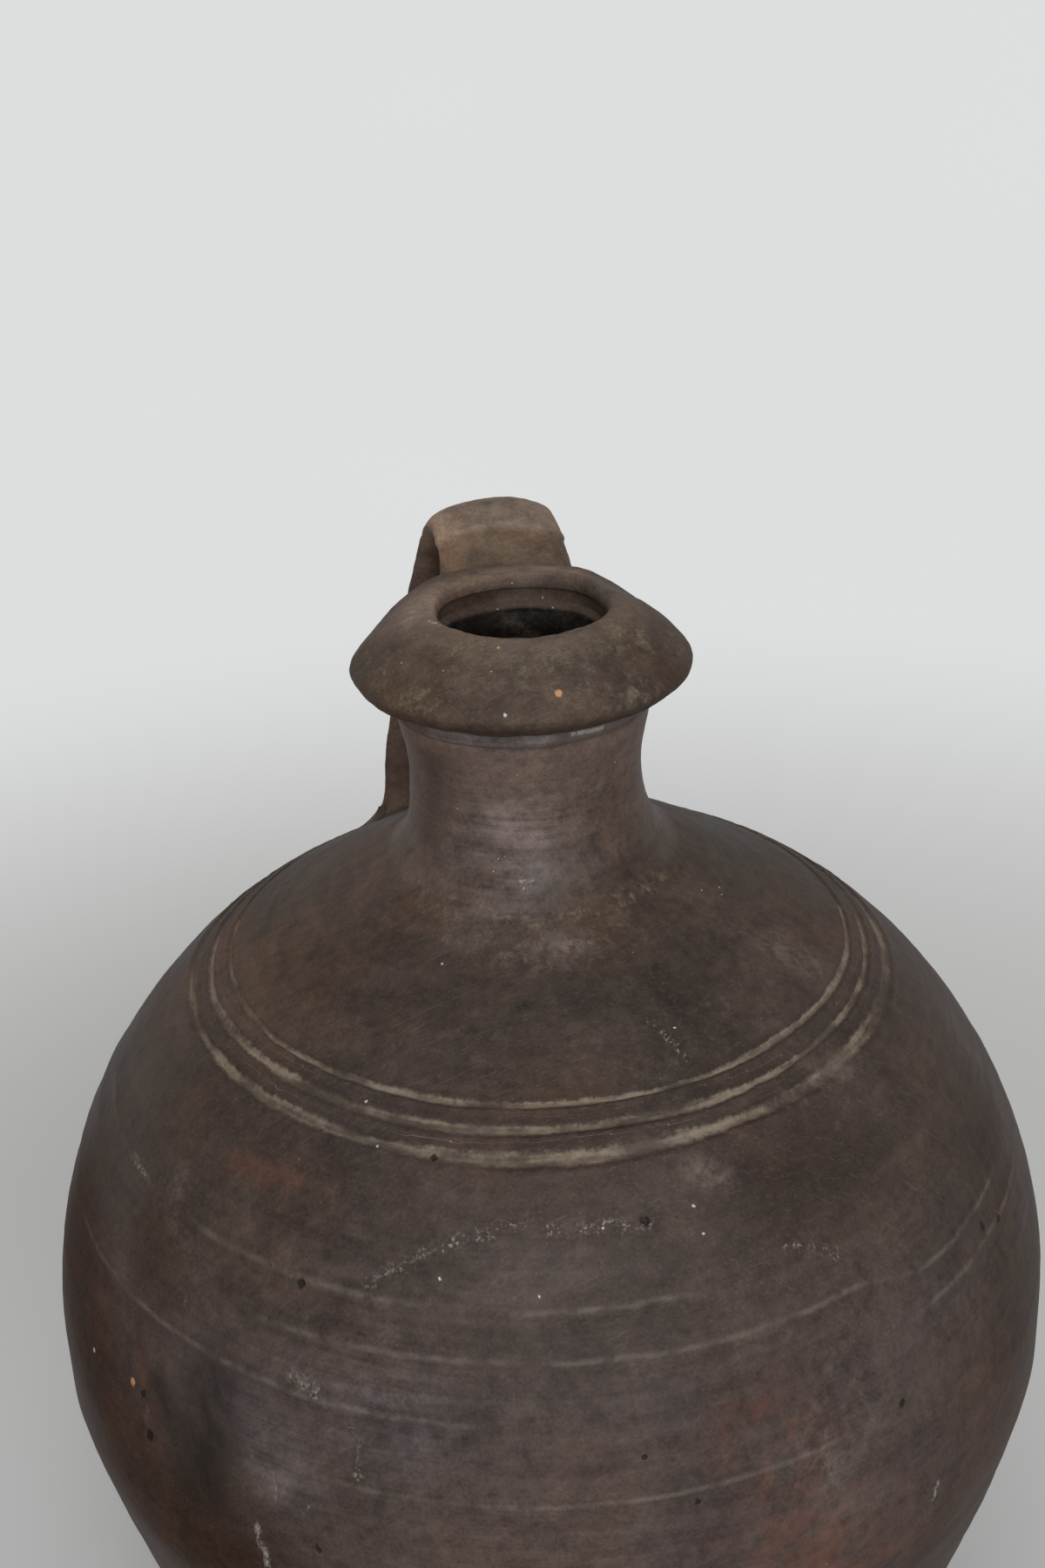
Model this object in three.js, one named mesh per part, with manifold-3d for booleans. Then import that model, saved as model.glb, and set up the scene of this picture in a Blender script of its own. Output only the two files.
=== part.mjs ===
// Wheel-thrown oil jug of smoke-blackened clay, in millimetres. +Z is up, the origin is the centre
// of the underside, and the strap handle stands behind the neck, on the +Y side.
//
// The jug is put together as a potter does it: the body in two thrown halves, then a flared neck,
// a heavy collar round the mouth and a pulled strap handle, each luted to the piece before it.
import {
  BufferGeometry, CatmullRomCurve3, CubicBezierCurve, Float32BufferAttribute, Group, LatheGeometry,
  MathUtils, Mesh, MeshStandardMaterial, Vector2, Vector3,
} from 'three';
import { mergeVertices } from 'three/addons/utils/BufferGeometryUtils.js';
import Module from 'manifold-3d';

// Body, outside
const baseRadius = 85;
const footRound = 3.5;
const taperAngle = 32; // between the wall and the upright, where it leaves the foot
const bellyRadius = 145.8;
const bellyHeight = 176;
const shoulderRise = 114.8; // from the widest ring to where the round runs out into a cone
const shoulderRadius = 89.2; // of that cone's lower edge
const shoulderPitch = 31; // of that cone, below level
const bodySeamRise = 56; // from the widest ring up to the seam between the two halves

// Grooves cut in the shoulder while it turned
const grooveCount = 3;
const grooveRadius = 98.8; // of the outermost groove
const groovePitch = 6.1; // from groove to groove, along the radius
const grooveWidth = 2; // of the innermost groove
const grooveWidening = 1; // from each groove to the next one out
const grooveDepth = 1.1;
const grooveShore = 0.4; // plain wall beside a groove before the wall may bend again

// Neck, outside
const flareRadius = 50; // where the flare leaves the shoulder's cone
const flareRise = 31.7; // from there to the waist
const neckRadius = 31.5; // at the waist
const neckRise = 18; // from the waist to the collar
const neckSpread = 2.4; // how much wider the neck is at the collar
const neckSeamRise = 6; // from the flare's foot up to the seam between shoulder and neck

// Collar and mouth
const collarRadius = 45.5;
const collarUndersideRise = 11.3; // from the neck's end up to the widest ring
const collarTopRise = 15.1; // from the widest ring up to the crest of the mouth
const beadBulge = 2.2; // roll that closes the joint under the collar
const beadHeight = 4.8;
const mouthRadius = 23;
const crestRadius = 26.5;
const crestFall = 2.3; // of the collar's top, from the crest to halfway out
const lipRise = 3.5; // of the round from the mouth's wall up to the crest
const ledgeDepth = 8; // of the step inside the mouth, below the crest
const ledgeWidth = 1.4;
const ledgeSlope = 1.2; // height that the step takes

// Walls
const wall = 9.2;
const floorThickness = 11;
const floorCorner = 9; // height of the round between the floor and the wall, inside

// Strap handle
const strapWidth = 35; // over the top
const strapRootWidth = 40; // where it grows out of the collar
const strapFootWidth = 50; // where it is pressed on to the shoulder
const strapThickness = 16;
const strapRootThickness = 19;
const strapEdgePower = 1.85; // 2 is an ellipse, less is thinner towards the edges
const gripReach = 91; // from the jug's axis to the middle of the upright limb
const gripCrestReach = 66; // from the jug's axis to the top of the arch
const gripCrestRise = 0.6; // middle of the strap over the mouth's crest, at the top of the arch
const strapRootSide = 5; // of the jug's middle plane, towards +X
const strapFootSide = 8; // of the jug's middle plane, towards -X
const seatGap = 0.3; // slip joint between the strap and what it is pressed against

// Facets
const turnSteps = 60;
const strapSteps = 24;
const strapSides = 16;

const clay = { roughness: 0.82, metalness: 0 };
const colours = {
  lowerBody: '#51433c', shoulder: '#47403b', neck: '#4c433f', collar: '#4d453d', handle: '#54483f',
};

// Heights that follow from the sizes above
const bodySeam = bellyHeight + bodySeamRise;
const coneFoot = bellyHeight + shoulderRise;
const coneTop = coneFoot + (shoulderRadius - flareRadius) * Math.tan(MathUtils.degToRad(shoulderPitch));
const neckSeam = coneTop + neckSeamRise;
const waistHeight = coneTop + flareRise;
const collarSeam = waistHeight + neckRise;
const collarEdge = collarSeam + collarUndersideRise;
const crestHeight = collarEdge + collarTopRise;
const neckTopRadius = neckRadius + neckSpread;
const boreRadius = neckRadius - wall;

const wasm = await Module();
wasm.setup();

// A curve in the profile plane, x being the radius and y the height
function curve(steps, ...corners) {
  return new CubicBezierCurve(...corners.map(([r, z]) => new Vector2(r, z))).getPoints(steps);
}

// Outside of the body up to the cone's top, from the foot's edge
function bodyOutline() {
  const taper = MathUtils.degToRad(taperAngle);
  const leaning = (length) => [baseRadius + length * Math.sin(taper), length * Math.cos(taper)];
  return [
    ...curve(3, [baseRadius - footRound, 0], [baseRadius, 0], [baseRadius, 0], leaning(footRound)),
    ...curve(9, leaning(footRound), leaning(0.22 * bellyHeight),
      [bellyRadius, 0.87 * bellyHeight], [bellyRadius, bellyHeight]).slice(1),
    ...curve(12, [bellyRadius, bellyHeight], [bellyRadius, bellyHeight + 0.7 * shoulderRise],
      [shoulderRadius, coneFoot], [shoulderRadius, coneFoot]).slice(1),
    new Vector2(flareRadius, coneTop),
  ];
}

// Outside of the neck, from the cone's top to the collar
function neckOutline() {
  const pitch = MathUtils.degToRad(shoulderPitch);
  const alongCone = 0.65 * (flareRadius - neckRadius);
  return [
    ...curve(7, [flareRadius, coneTop],
      [flareRadius - alongCone, coneTop + alongCone * Math.tan(pitch)],
      [neckRadius, waistHeight - 0.7 * flareRise], [neckRadius, waistHeight]),
    ...curve(2, [neckRadius, waistHeight], [neckRadius, waistHeight + neckRise / 2],
      [neckTopRadius, collarSeam - neckRise / 3], [neckTopRadius, collarSeam]).slice(1),
  ];
}

// Outside of the collar: the bead, the bellied underside, the rounded edge, the sloping top
function collarOutline() {
  const beadTop = collarSeam + beadHeight;
  const reach = collarRadius - neckTopRadius;
  return [
    ...curve(3, [neckTopRadius, collarSeam], [neckTopRadius + beadBulge, collarSeam],
      [neckTopRadius + beadBulge, beadTop], [neckTopRadius + 0.12 * reach, beadTop]),
    ...curve(5, [neckTopRadius + 0.12 * reach, beadTop], [collarRadius - 0.55 * reach, beadTop],
      [collarRadius, collarEdge - 0.3 * collarUndersideRise], [collarRadius, collarEdge]).slice(1),
    ...curve(7, [collarRadius, collarEdge], [collarRadius, collarEdge + 0.13 * collarTopRise],
      [crestRadius + 0.48 * (collarRadius - crestRadius), crestHeight - crestFall],
      [crestRadius, crestHeight]).slice(1),
  ];
}

// Each point moved square to the line by a distance, to the left of its direction if positive
function offset(points, distance) {
  return points.map((point, i) => {
    const before = points[Math.max(i - 1, 0)];
    const after = points[Math.min(i + 1, points.length - 1)];
    const along = after.clone().sub(before).normalize();
    return new Vector2(point.x - along.y * distance, point.y + along.x * distance);
  });
}

// The stretch of a rising line between two heights, ended exactly on them
function between(points, low, high) {
  const at = (height) => {
    const i = Math.max(points.findIndex((point) => point.y >= height), 1);
    const share = (height - points[i - 1].y) / (points[i].y - points[i - 1].y);
    return points[i - 1].clone().lerp(points[i], share);
  };
  const same = 0.01;
  const inside = points.filter((point) => point.y > low + same && point.y < high - same);
  return [at(low), ...inside, at(high)];
}

// A rounded groove of a width pressed into a line that narrows upwards, centred on a radius
function incise(points, radius, width) {
  const i = points.findIndex((point) => point.x <= radius && point.y > bellyHeight);
  const along = points[i].clone().sub(points[i - 1]).normalize();
  const inward = new Vector2(-along.y, along.x);
  const centre = points[i - 1].clone().lerp(points[i],
    (points[i - 1].x - radius) / (points[i - 1].x - points[i].x));
  const place = (share, depth) => centre.clone()
    .addScaledVector(along, share * width).addScaledVector(inward, depth * grooveDepth);
  const clear = (point) => point.distanceTo(centre) > width / 2 + grooveShore;
  return [
    ...points.slice(0, i).filter(clear),
    place(-0.5, 0), place(-0.22, 1), place(0.22, 1), place(0.5, 0),
    ...points.slice(i).filter(clear),
  ];
}

// A closed profile turned round the jug's axis
function turned(profile) {
  const geometry = new LatheGeometry([...profile, profile[0].clone()], turnSteps);
  return geometry.rotateX(Math.PI / 2);
}

// The wall's outer line and its inner line, from the floor to the collar's seam
const outerLine = [...bodyOutline(), ...neckOutline().slice(1)];
const innerLine = offset(outerLine, wall).filter((point) => point.y > 0);

function lowerBodyGeometry() {
  const inside = between(innerLine, floorThickness + floorCorner, bodySeam).reverse();
  const { x: radius, y: height } = inside.at(-1);
  return turned([
    new Vector2(0, 0), ...between(outerLine, 0, bodySeam), ...inside,
    ...curve(3, [radius, height], [radius - 0.2 * floorCorner, floorThickness + 0.4 * floorCorner],
      [radius - 0.5 * floorCorner, floorThickness], [radius - 1.3 * floorCorner, floorThickness])
      .slice(1),
    new Vector2(0, floorThickness),
  ]);
}

function shoulderGeometry() {
  let outside = between(outerLine, bodySeam, neckSeam);
  for (let i = 0; i < grooveCount; i += 1) {
    const stepsIn = grooveCount - 1 - i;
    outside = incise(outside, grooveRadius - stepsIn * groovePitch, grooveWidth + i * grooveWidening);
  }
  return turned([...outside, ...between(innerLine, bodySeam, neckSeam).reverse()]);
}

function neckGeometry() {
  const bore = [
    ...between(innerLine, neckSeam, waistHeight), new Vector2(boreRadius, collarSeam),
  ];
  return turned([...between(outerLine, neckSeam, collarSeam), ...bore.reverse()]);
}

function collarGeometry() {
  const ledge = crestHeight - ledgeDepth;
  const lip = crestRadius - mouthRadius;
  return turned([
    ...collarOutline(),
    ...curve(4, [crestRadius, crestHeight], [crestRadius - 0.57 * lip, crestHeight + 0.11 * lipRise],
      [mouthRadius, crestHeight - 0.14 * lipRise], [mouthRadius, crestHeight - lipRise]).slice(1),
    new Vector2(boreRadius + ledgeWidth, ledge + ledgeSlope / 2),
    new Vector2(boreRadius, ledge - ledgeSlope / 2),
    new Vector2(boreRadius, collarSeam),
  ]);
}

// A geometry as a solid that can be cut, with its shared corners merged
function solidOf(geometry) {
  const bare = geometry.clone().deleteAttribute('normal').deleteAttribute('uv');
  const merged = mergeVertices(bare, 1e-4);
  const corners = Array.from(merged.index.array);
  const triVerts = [];
  for (let i = 0; i < corners.length; i += 3) {
    const [a, b, c] = corners.slice(i, i + 3);
    if (a !== b && b !== c && c !== a) triVerts.push(a, b, c);
  }
  return new wasm.Manifold(new wasm.Mesh({
    numProp: 3,
    vertProperties: new Float32Array(merged.attributes.position.array),
    triVerts: new Uint32Array(triVerts),
  }));
}

function geometryOf(solid) {
  const { vertProperties, triVerts } = solid.getMesh();
  const geometry = new BufferGeometry();
  geometry.setAttribute('position', new Float32BufferAttribute(vertProperties, 3));
  geometry.setIndex(Array.from(triVerts));
  geometry.computeVertexNormals();
  return geometry;
}

// The strap before it is seated: a rounded band swept along its arch, both ends run into the jug
function strapBlank() {
  const crest = crestHeight + gripCrestRise;
  const drop = crest - coneFoot;
  const rootReach = 0.5 * (crestRadius + collarRadius);
  const span = gripReach - rootReach;
  const at = (sideShare, reach, fall) => new Vector3(
    MathUtils.lerp(strapRootSide, -strapFootSide, sideShare), reach, crest - fall * drop);
  const arch = new CatmullRomCurve3([
    at(0, rootReach - 0.11 * span, 0.2),
    at(0, rootReach + 0.15 * span, 0.14),
    at(0, MathUtils.lerp(rootReach, gripCrestReach, 0.58), 0.05),
    at(0.08, gripCrestReach, 0),
    at(0.3, gripReach - 0.18 * span, 0.1),
    at(0.65, gripReach - 0.02 * span, 0.34),
    at(0.85, gripReach, 0.62),
    at(1, gripReach - 0.04 * span, 0.88),
    at(1, gripReach - 0.09 * span, 1.08),
  ]);
  const footSwell = (t) => MathUtils.smoothstep(t, 0.35, 1);
  const rootSwell = (t) => 1 - MathUtils.smoothstep(t, 0, 0.25);
  const points = arch.getSpacedPoints(strapSteps);
  const positions = [];
  points.forEach((centre, i) => {
    const t = i / strapSteps;
    const along = arch.getTangentAt(t);
    const across = new Vector3(1, 0, 0).addScaledVector(along, -along.x).normalize();
    const outward = new Vector3().crossVectors(across, along);
    const width = strapWidth + (strapRootWidth - strapWidth) * rootSwell(t)
      + (strapFootWidth - strapWidth) * footSwell(t);
    const thickness = strapThickness + (strapRootThickness - strapThickness) * rootSwell(t);
    for (let corner = 0; corner < strapSides; corner += 1) {
      const angle = (2 * Math.PI * corner) / strapSides;
      const round = (value) => Math.sign(value) * Math.abs(value) ** (2 / strapEdgePower);
      const place = centre.clone()
        .addScaledVector(across, (width / 2) * round(Math.cos(angle)))
        .addScaledVector(outward, (thickness / 2) * round(Math.sin(angle)));
      positions.push(place.x, place.y, place.z);
    }
  });
  return sweptBand(positions, points);
}

// Skin over the rings of a band, with a fan of facets closing each end
function sweptBand(positions, centres) {
  const faces = [];
  const last = centres.length - 1;
  const corner = (ring, side) => ring * strapSides + (side % strapSides);
  const firstCentre = centres.length * strapSides;
  positions.push(...centres[0].toArray(), ...centres[last].toArray());
  for (let side = 0; side < strapSides; side += 1) {
    for (let ring = 0; ring < last; ring += 1) {
      const [a, b] = [corner(ring, side), corner(ring, side + 1)];
      const [c, d] = [corner(ring + 1, side + 1), corner(ring + 1, side)];
      faces.push(a, d, b, b, d, c);
    }
    faces.push(firstCentre, corner(0, side), corner(0, side + 1));
    faces.push(firstCentre + 1, corner(last, side + 1), corner(last, side));
  }
  const geometry = new BufferGeometry();
  geometry.setAttribute('position', new Float32BufferAttribute(positions, 3));
  geometry.setIndex(faces);
  geometry.computeVertexNormals();
  return geometry;
}

// The strap trimmed to sit on the jug's outside, a slip joint's width off it
function handleGeometry() {
  const outside = offset([...outerLine, ...collarOutline().slice(1)], -seatGap);
  const jug = turned([new Vector2(0, -seatGap), ...outside, new Vector2(0, crestHeight + seatGap)]);
  return geometryOf(solidOf(strapBlank()).subtract(solidOf(jug)));
}

function piece(name, geometry, colour) {
  const mesh = new Mesh(geometry, new MeshStandardMaterial({ color: colour, ...clay }));
  mesh.name = name;
  return mesh;
}

const jug = new Group();
jug.name = 'oil_jug';
jug.add(
  piece('lower_body', lowerBodyGeometry(), colours.lowerBody),
  piece('shoulder', shoulderGeometry(), colours.shoulder),
  piece('neck', neckGeometry(), colours.neck),
  piece('collar', collarGeometry(), colours.collar),
  piece('handle', handleGeometry(), colours.handle),
);

export default jug;
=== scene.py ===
"""Oil jug of smoke-blackened clay, dressed for the photograph's view. Sizes are millimetres until
they become meshes; the jug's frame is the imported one, with the handle on the +Y side."""
import functools
import itertools
import math

import bpy
import numpy as np
from mathutils import Matrix, Vector
from mathutils.bvhtree import BVHTree


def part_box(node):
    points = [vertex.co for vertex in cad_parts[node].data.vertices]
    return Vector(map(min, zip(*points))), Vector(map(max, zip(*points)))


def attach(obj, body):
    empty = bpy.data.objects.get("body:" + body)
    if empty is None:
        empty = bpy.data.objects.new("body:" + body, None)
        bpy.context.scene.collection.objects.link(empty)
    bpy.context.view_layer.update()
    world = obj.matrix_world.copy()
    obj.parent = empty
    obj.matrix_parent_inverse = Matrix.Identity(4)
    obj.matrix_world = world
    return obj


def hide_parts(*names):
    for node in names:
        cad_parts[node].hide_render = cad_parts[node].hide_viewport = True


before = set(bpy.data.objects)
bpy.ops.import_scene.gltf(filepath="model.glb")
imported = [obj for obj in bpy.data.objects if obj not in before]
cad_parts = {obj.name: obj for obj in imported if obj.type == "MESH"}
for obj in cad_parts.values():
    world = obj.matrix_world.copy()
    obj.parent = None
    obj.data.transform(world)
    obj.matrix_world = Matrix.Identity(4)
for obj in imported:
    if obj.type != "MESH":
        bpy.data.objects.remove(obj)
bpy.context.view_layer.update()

MM = 0.001

# Body, outside
BASE_RADIUS = 85.0
FOOT_ROUND = 3.5
TAPER_ANGLE = math.radians(32)
BELLY_RADIUS = 145.8
BELLY_HEIGHT = 176.0
SHOULDER_RISE = 114.8
SHOULDER_RADIUS = 89.2
SHOULDER_PITCH = math.radians(31)
BODY_SEAM_RISE = 56.0
BELLY_MARGIN = 0.75  # that the uneven wall keeps inside the belly's radius
# Where the curves' inner corners lie: the taper's along its lean and the belly's by height, as
# shares of the belly's height, the shoulder's as a share of its rise, and the flare's as a share of
# how much the flare narrows
TAPER_CORNER, BELLY_CORNER, SHOULDER_CORNER, FLARE_CORNER = 0.22, 0.87, 0.7, 0.65

# Grooves in the shoulder: the outermost one's radius, the step inwards to the next, their widths
# from the outermost in, and their depth before wear
GROOVE_RADIUS = 97.9
GROOVE_PITCH = 5.75
GROOVE_WIDTHS = (3.4, 2.5, 1.9)
GROOVE_DEPTH = 0.9

# Neck, collar and mouth
FLARE_RADIUS = 50.0
FLARE_RISE = 31.7
NECK_RADIUS = 31.5
NECK_RISE = 18.0
NECK_SPREAD = 2.4
NECK_SEAM_RISE = 6.0
COLLAR_RADIUS = 45.5
COLLAR_UNDERSIDE_RISE = 11.3
COLLAR_TOP_RISE = 15.1
BEAD_BULGE = 2.2
BEAD_HEIGHT = 4.8
MOUTH_RADIUS = 23.0
CREST_RADIUS = 26.5
CREST_FALL = 2.3
LIP_RISE = 3.5
LEDGE_DEPTH = 8.0
LEDGE_WIDTH = 1.4
LEDGE_SLOPE = 1.2
MOUTH_NARROWING = 0.9
MOUTH_SIDE = 1.0  # of the mouth's middle, towards +X
MOUTH_OPENING = 2.2  # of the lip behind the mouth, outwards
BACK_LIP_SHARPNESS = 1.3  # how far the clay fills out the lip's round behind the mouth

# Walls
WALL = 9.2
FLOOR_THICKNESS = 11.0
FLOOR_CORNER = 9.0

# Strap handle
STRAP_WIDTH = 35.0
STRAP_ROOT_WIDTH = 40.0
STRAP_FOOT_WIDTH = 50.0
STRAP_THICKNESS = 16.0
STRAP_ROOT_THICKNESS = 19.0
STRAP_EDGE_POWER = 1.85
GRIP_REACH = 91.0
GRIP_CREST_REACH = 66.0
GRIP_CREST_RISE = 0.6
STRAP_ROOT_SIDE = 5.0
STRAP_FOOT_SIDE = 8.0
STRAP_SWELL = 3.2  # of the strap's left edge above its root
STRAP_STEP = 0.9  # from the strap down to the slip that wraps its root
STRAP_STEP_PLACE = 0.198  # share of the strap's length

# Heights and radii that follow
BODY_SEAM = BELLY_HEIGHT + BODY_SEAM_RISE
CONE_FOOT = BELLY_HEIGHT + SHOULDER_RISE
CONE_TOP = CONE_FOOT + (SHOULDER_RADIUS - FLARE_RADIUS) * math.tan(SHOULDER_PITCH)
NECK_SEAM = CONE_TOP + NECK_SEAM_RISE
WAIST_HEIGHT = CONE_TOP + FLARE_RISE
COLLAR_SEAM = WAIST_HEIGHT + NECK_RISE
COLLAR_EDGE = COLLAR_SEAM + COLLAR_UNDERSIDE_RISE
CREST_HEIGHT = COLLAR_EDGE + COLLAR_TOP_RISE
NECK_TOP_RADIUS = NECK_RADIUS + NECK_SPREAD
BORE_RADIUS = NECK_RADIUS - WALL

# The photograph's camera, worked out from the mouth's and the grooves' ellipses
PHOTO_WIDTH, PHOTO_HEIGHT = 1200, 1800
FOCAL_LENGTH = 50.0
SENSOR = 36.0
CAMERA_REACH = 534.9  # level distance from the jug's axis
CAMERA_HEIGHT = 597.5
CAMERA_TURN = math.radians(9.5)  # round the jug, from straight in front towards -X
CAMERA_PAN = math.radians(-0.2533)
CAMERA_DIP = math.radians(25.855)
CAMERA_ROLL = math.radians(-2.417)

# The neck was set a little off the axis, and the collar tips up at the front
NECK_LEAN = np.array([-1.48, -0.36, 0.0])
COLLAR_TILT = math.radians(1.93)

TONE_SPAN = 400.0  # height that the "level" mask counts as 1

SEGMENTS = 480


def smooth(value, low, high):
    """From 0 at low to 1 at high, level at both ends."""
    share = np.clip((value - low) / (high - low), 0, 1)
    return share * share * (3 - 2 * share)


# Noise

GRADIENTS = np.array(
    [g for g in itertools.product((-1, 0, 1), repeat=3) if sum(map(abs, g)) == 2], float)


def noise(points, size, seed):
    """Gradient noise from about -1 to 1, with features of a size in millimetres."""
    table = np.random.default_rng(seed).permutation(256)
    scaled = points / size + 100.5
    cell = np.floor(scaled).astype(int)
    part = scaled - cell
    eased = part ** 3 * (part * (part * 6 - 15) + 10)
    total = np.zeros(len(points))
    for corner in itertools.product((0, 1), repeat=3):
        at = (cell + corner) & 255
        pick = table[(table[(table[at[:, 0]] + at[:, 1]) & 255] + at[:, 2]) & 255] % 12
        slope = ((part - corner) * GRADIENTS[pick]).sum(1)
        total += slope * np.prod(np.where(corner, eased, 1 - eased), axis=1)
    return total * 1.4


def layered(points, size, seed, octaves=3):
    """Noise with finer layers on top, each half as strong as the one before."""
    return sum(noise(points, size / 2 ** k, seed + k) / 2 ** k for k in range(octaves))


# Profile of the jug, as rows of (radius, height)

def bezier(*corners, steps=60):
    a, b, c, d = (np.array(corner, float) for corner in corners)
    t = np.linspace(0, 1, steps + 1)[:, None]
    return (1 - t) ** 3 * a + 3 * (1 - t) ** 2 * t * b + 3 * (1 - t) * t * t * c + t ** 3 * d


def leaning(length):
    return [BASE_RADIUS + length * math.sin(TAPER_ANGLE), length * math.cos(TAPER_ANGLE)]


def foot_outline():
    return bezier([BASE_RADIUS - FOOT_ROUND, 0], [BASE_RADIUS, 0], [BASE_RADIUS, 0],
                  leaning(FOOT_ROUND))


def wall_outline():
    """Outside from the foot to the collar's seam, rising all the way."""
    along = FLARE_CORNER * (FLARE_RADIUS - NECK_RADIUS)
    return np.vstack([
        bezier(leaning(FOOT_ROUND), leaning(TAPER_CORNER * BELLY_HEIGHT),
               [BELLY_RADIUS, BELLY_CORNER * BELLY_HEIGHT], [BELLY_RADIUS, BELLY_HEIGHT]),
        bezier([BELLY_RADIUS, BELLY_HEIGHT],
               [BELLY_RADIUS, BELLY_HEIGHT + SHOULDER_CORNER * SHOULDER_RISE],
               [SHOULDER_RADIUS, CONE_FOOT], [SHOULDER_RADIUS, CONE_FOOT])[1:],
        bezier([FLARE_RADIUS, CONE_TOP],
               [FLARE_RADIUS - along, CONE_TOP + along * math.tan(SHOULDER_PITCH)],
               [NECK_RADIUS, WAIST_HEIGHT - 0.7 * FLARE_RISE], [NECK_RADIUS, WAIST_HEIGHT]),
        bezier([NECK_RADIUS, WAIST_HEIGHT], [NECK_RADIUS, WAIST_HEIGHT + NECK_RISE / 2],
               [NECK_TOP_RADIUS, COLLAR_SEAM - NECK_RISE / 3], [NECK_TOP_RADIUS, COLLAR_SEAM])[1:],
    ])


def collar_outlines():
    """The bead, the underside and the top, up to the mouth's crest."""
    bead_top = COLLAR_SEAM + BEAD_HEIGHT
    reach = COLLAR_RADIUS - NECK_TOP_RADIUS
    bulged = NECK_TOP_RADIUS + BEAD_BULGE
    turn_out = NECK_TOP_RADIUS + 0.12 * reach
    half_way = CREST_RADIUS + 0.48 * (COLLAR_RADIUS - CREST_RADIUS)
    return (
        bezier([NECK_TOP_RADIUS, COLLAR_SEAM], [bulged, COLLAR_SEAM], [bulged, bead_top],
               [turn_out, bead_top]),
        bezier([turn_out, bead_top], [COLLAR_RADIUS - 0.55 * reach, bead_top],
               [COLLAR_RADIUS, COLLAR_EDGE - 0.3 * COLLAR_UNDERSIDE_RISE],
               [COLLAR_RADIUS, COLLAR_EDGE]),
        bezier([COLLAR_RADIUS, COLLAR_EDGE], [COLLAR_RADIUS, COLLAR_EDGE + 0.13 * COLLAR_TOP_RISE],
               [half_way, CREST_HEIGHT - CREST_FALL], [CREST_RADIUS, CREST_HEIGHT]),
    )


def lip_outline():
    lip = CREST_RADIUS - MOUTH_RADIUS
    ledge = CREST_HEIGHT - LEDGE_DEPTH
    rounded = bezier([CREST_RADIUS, CREST_HEIGHT],
                     [CREST_RADIUS - 0.57 * lip, CREST_HEIGHT + 0.11 * LIP_RISE],
                     [MOUTH_RADIUS, CREST_HEIGHT - 0.14 * LIP_RISE],
                     [MOUTH_RADIUS, CREST_HEIGHT - LIP_RISE])
    step = [[BORE_RADIUS + LEDGE_WIDTH, ledge + LEDGE_SLOPE / 2],
            [BORE_RADIUS, ledge - LEDGE_SLOPE / 2]]
    return np.vstack([rounded, step])


def unit(vectors):
    return vectors / np.maximum(np.linalg.norm(vectors, axis=-1), 1e-12)[..., None]


def square_to(line):
    """Unit vectors square to the line, to the right of its direction: out of the clay."""
    along = unit(np.gradient(line, axis=0))
    return np.column_stack([along[:, 1], -along[:, 0]])


def between(line, low, high):
    """The stretch of a rising line between two heights, ended exactly on them."""
    inside = line[(line[:, 1] > low + 1e-6) & (line[:, 1] < high - 1e-6)]
    ends = [[np.interp(z, line[:, 1], line[:, 0]), z] for z in (low, high)]
    return np.vstack([ends[:1], inside, ends[1:]])


def spaced(line, step=None, count=None):
    """The line with points an even step apart, or a count of them, both its ends kept."""
    run = np.concatenate([[0], np.cumsum(np.linalg.norm(np.diff(line, axis=0), axis=1))])
    at = np.linspace(0, run[-1], count or max(2, math.ceil(run[-1] / step)) + 1)
    return np.column_stack([np.interp(at, run, values) for values in line.T])


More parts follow.
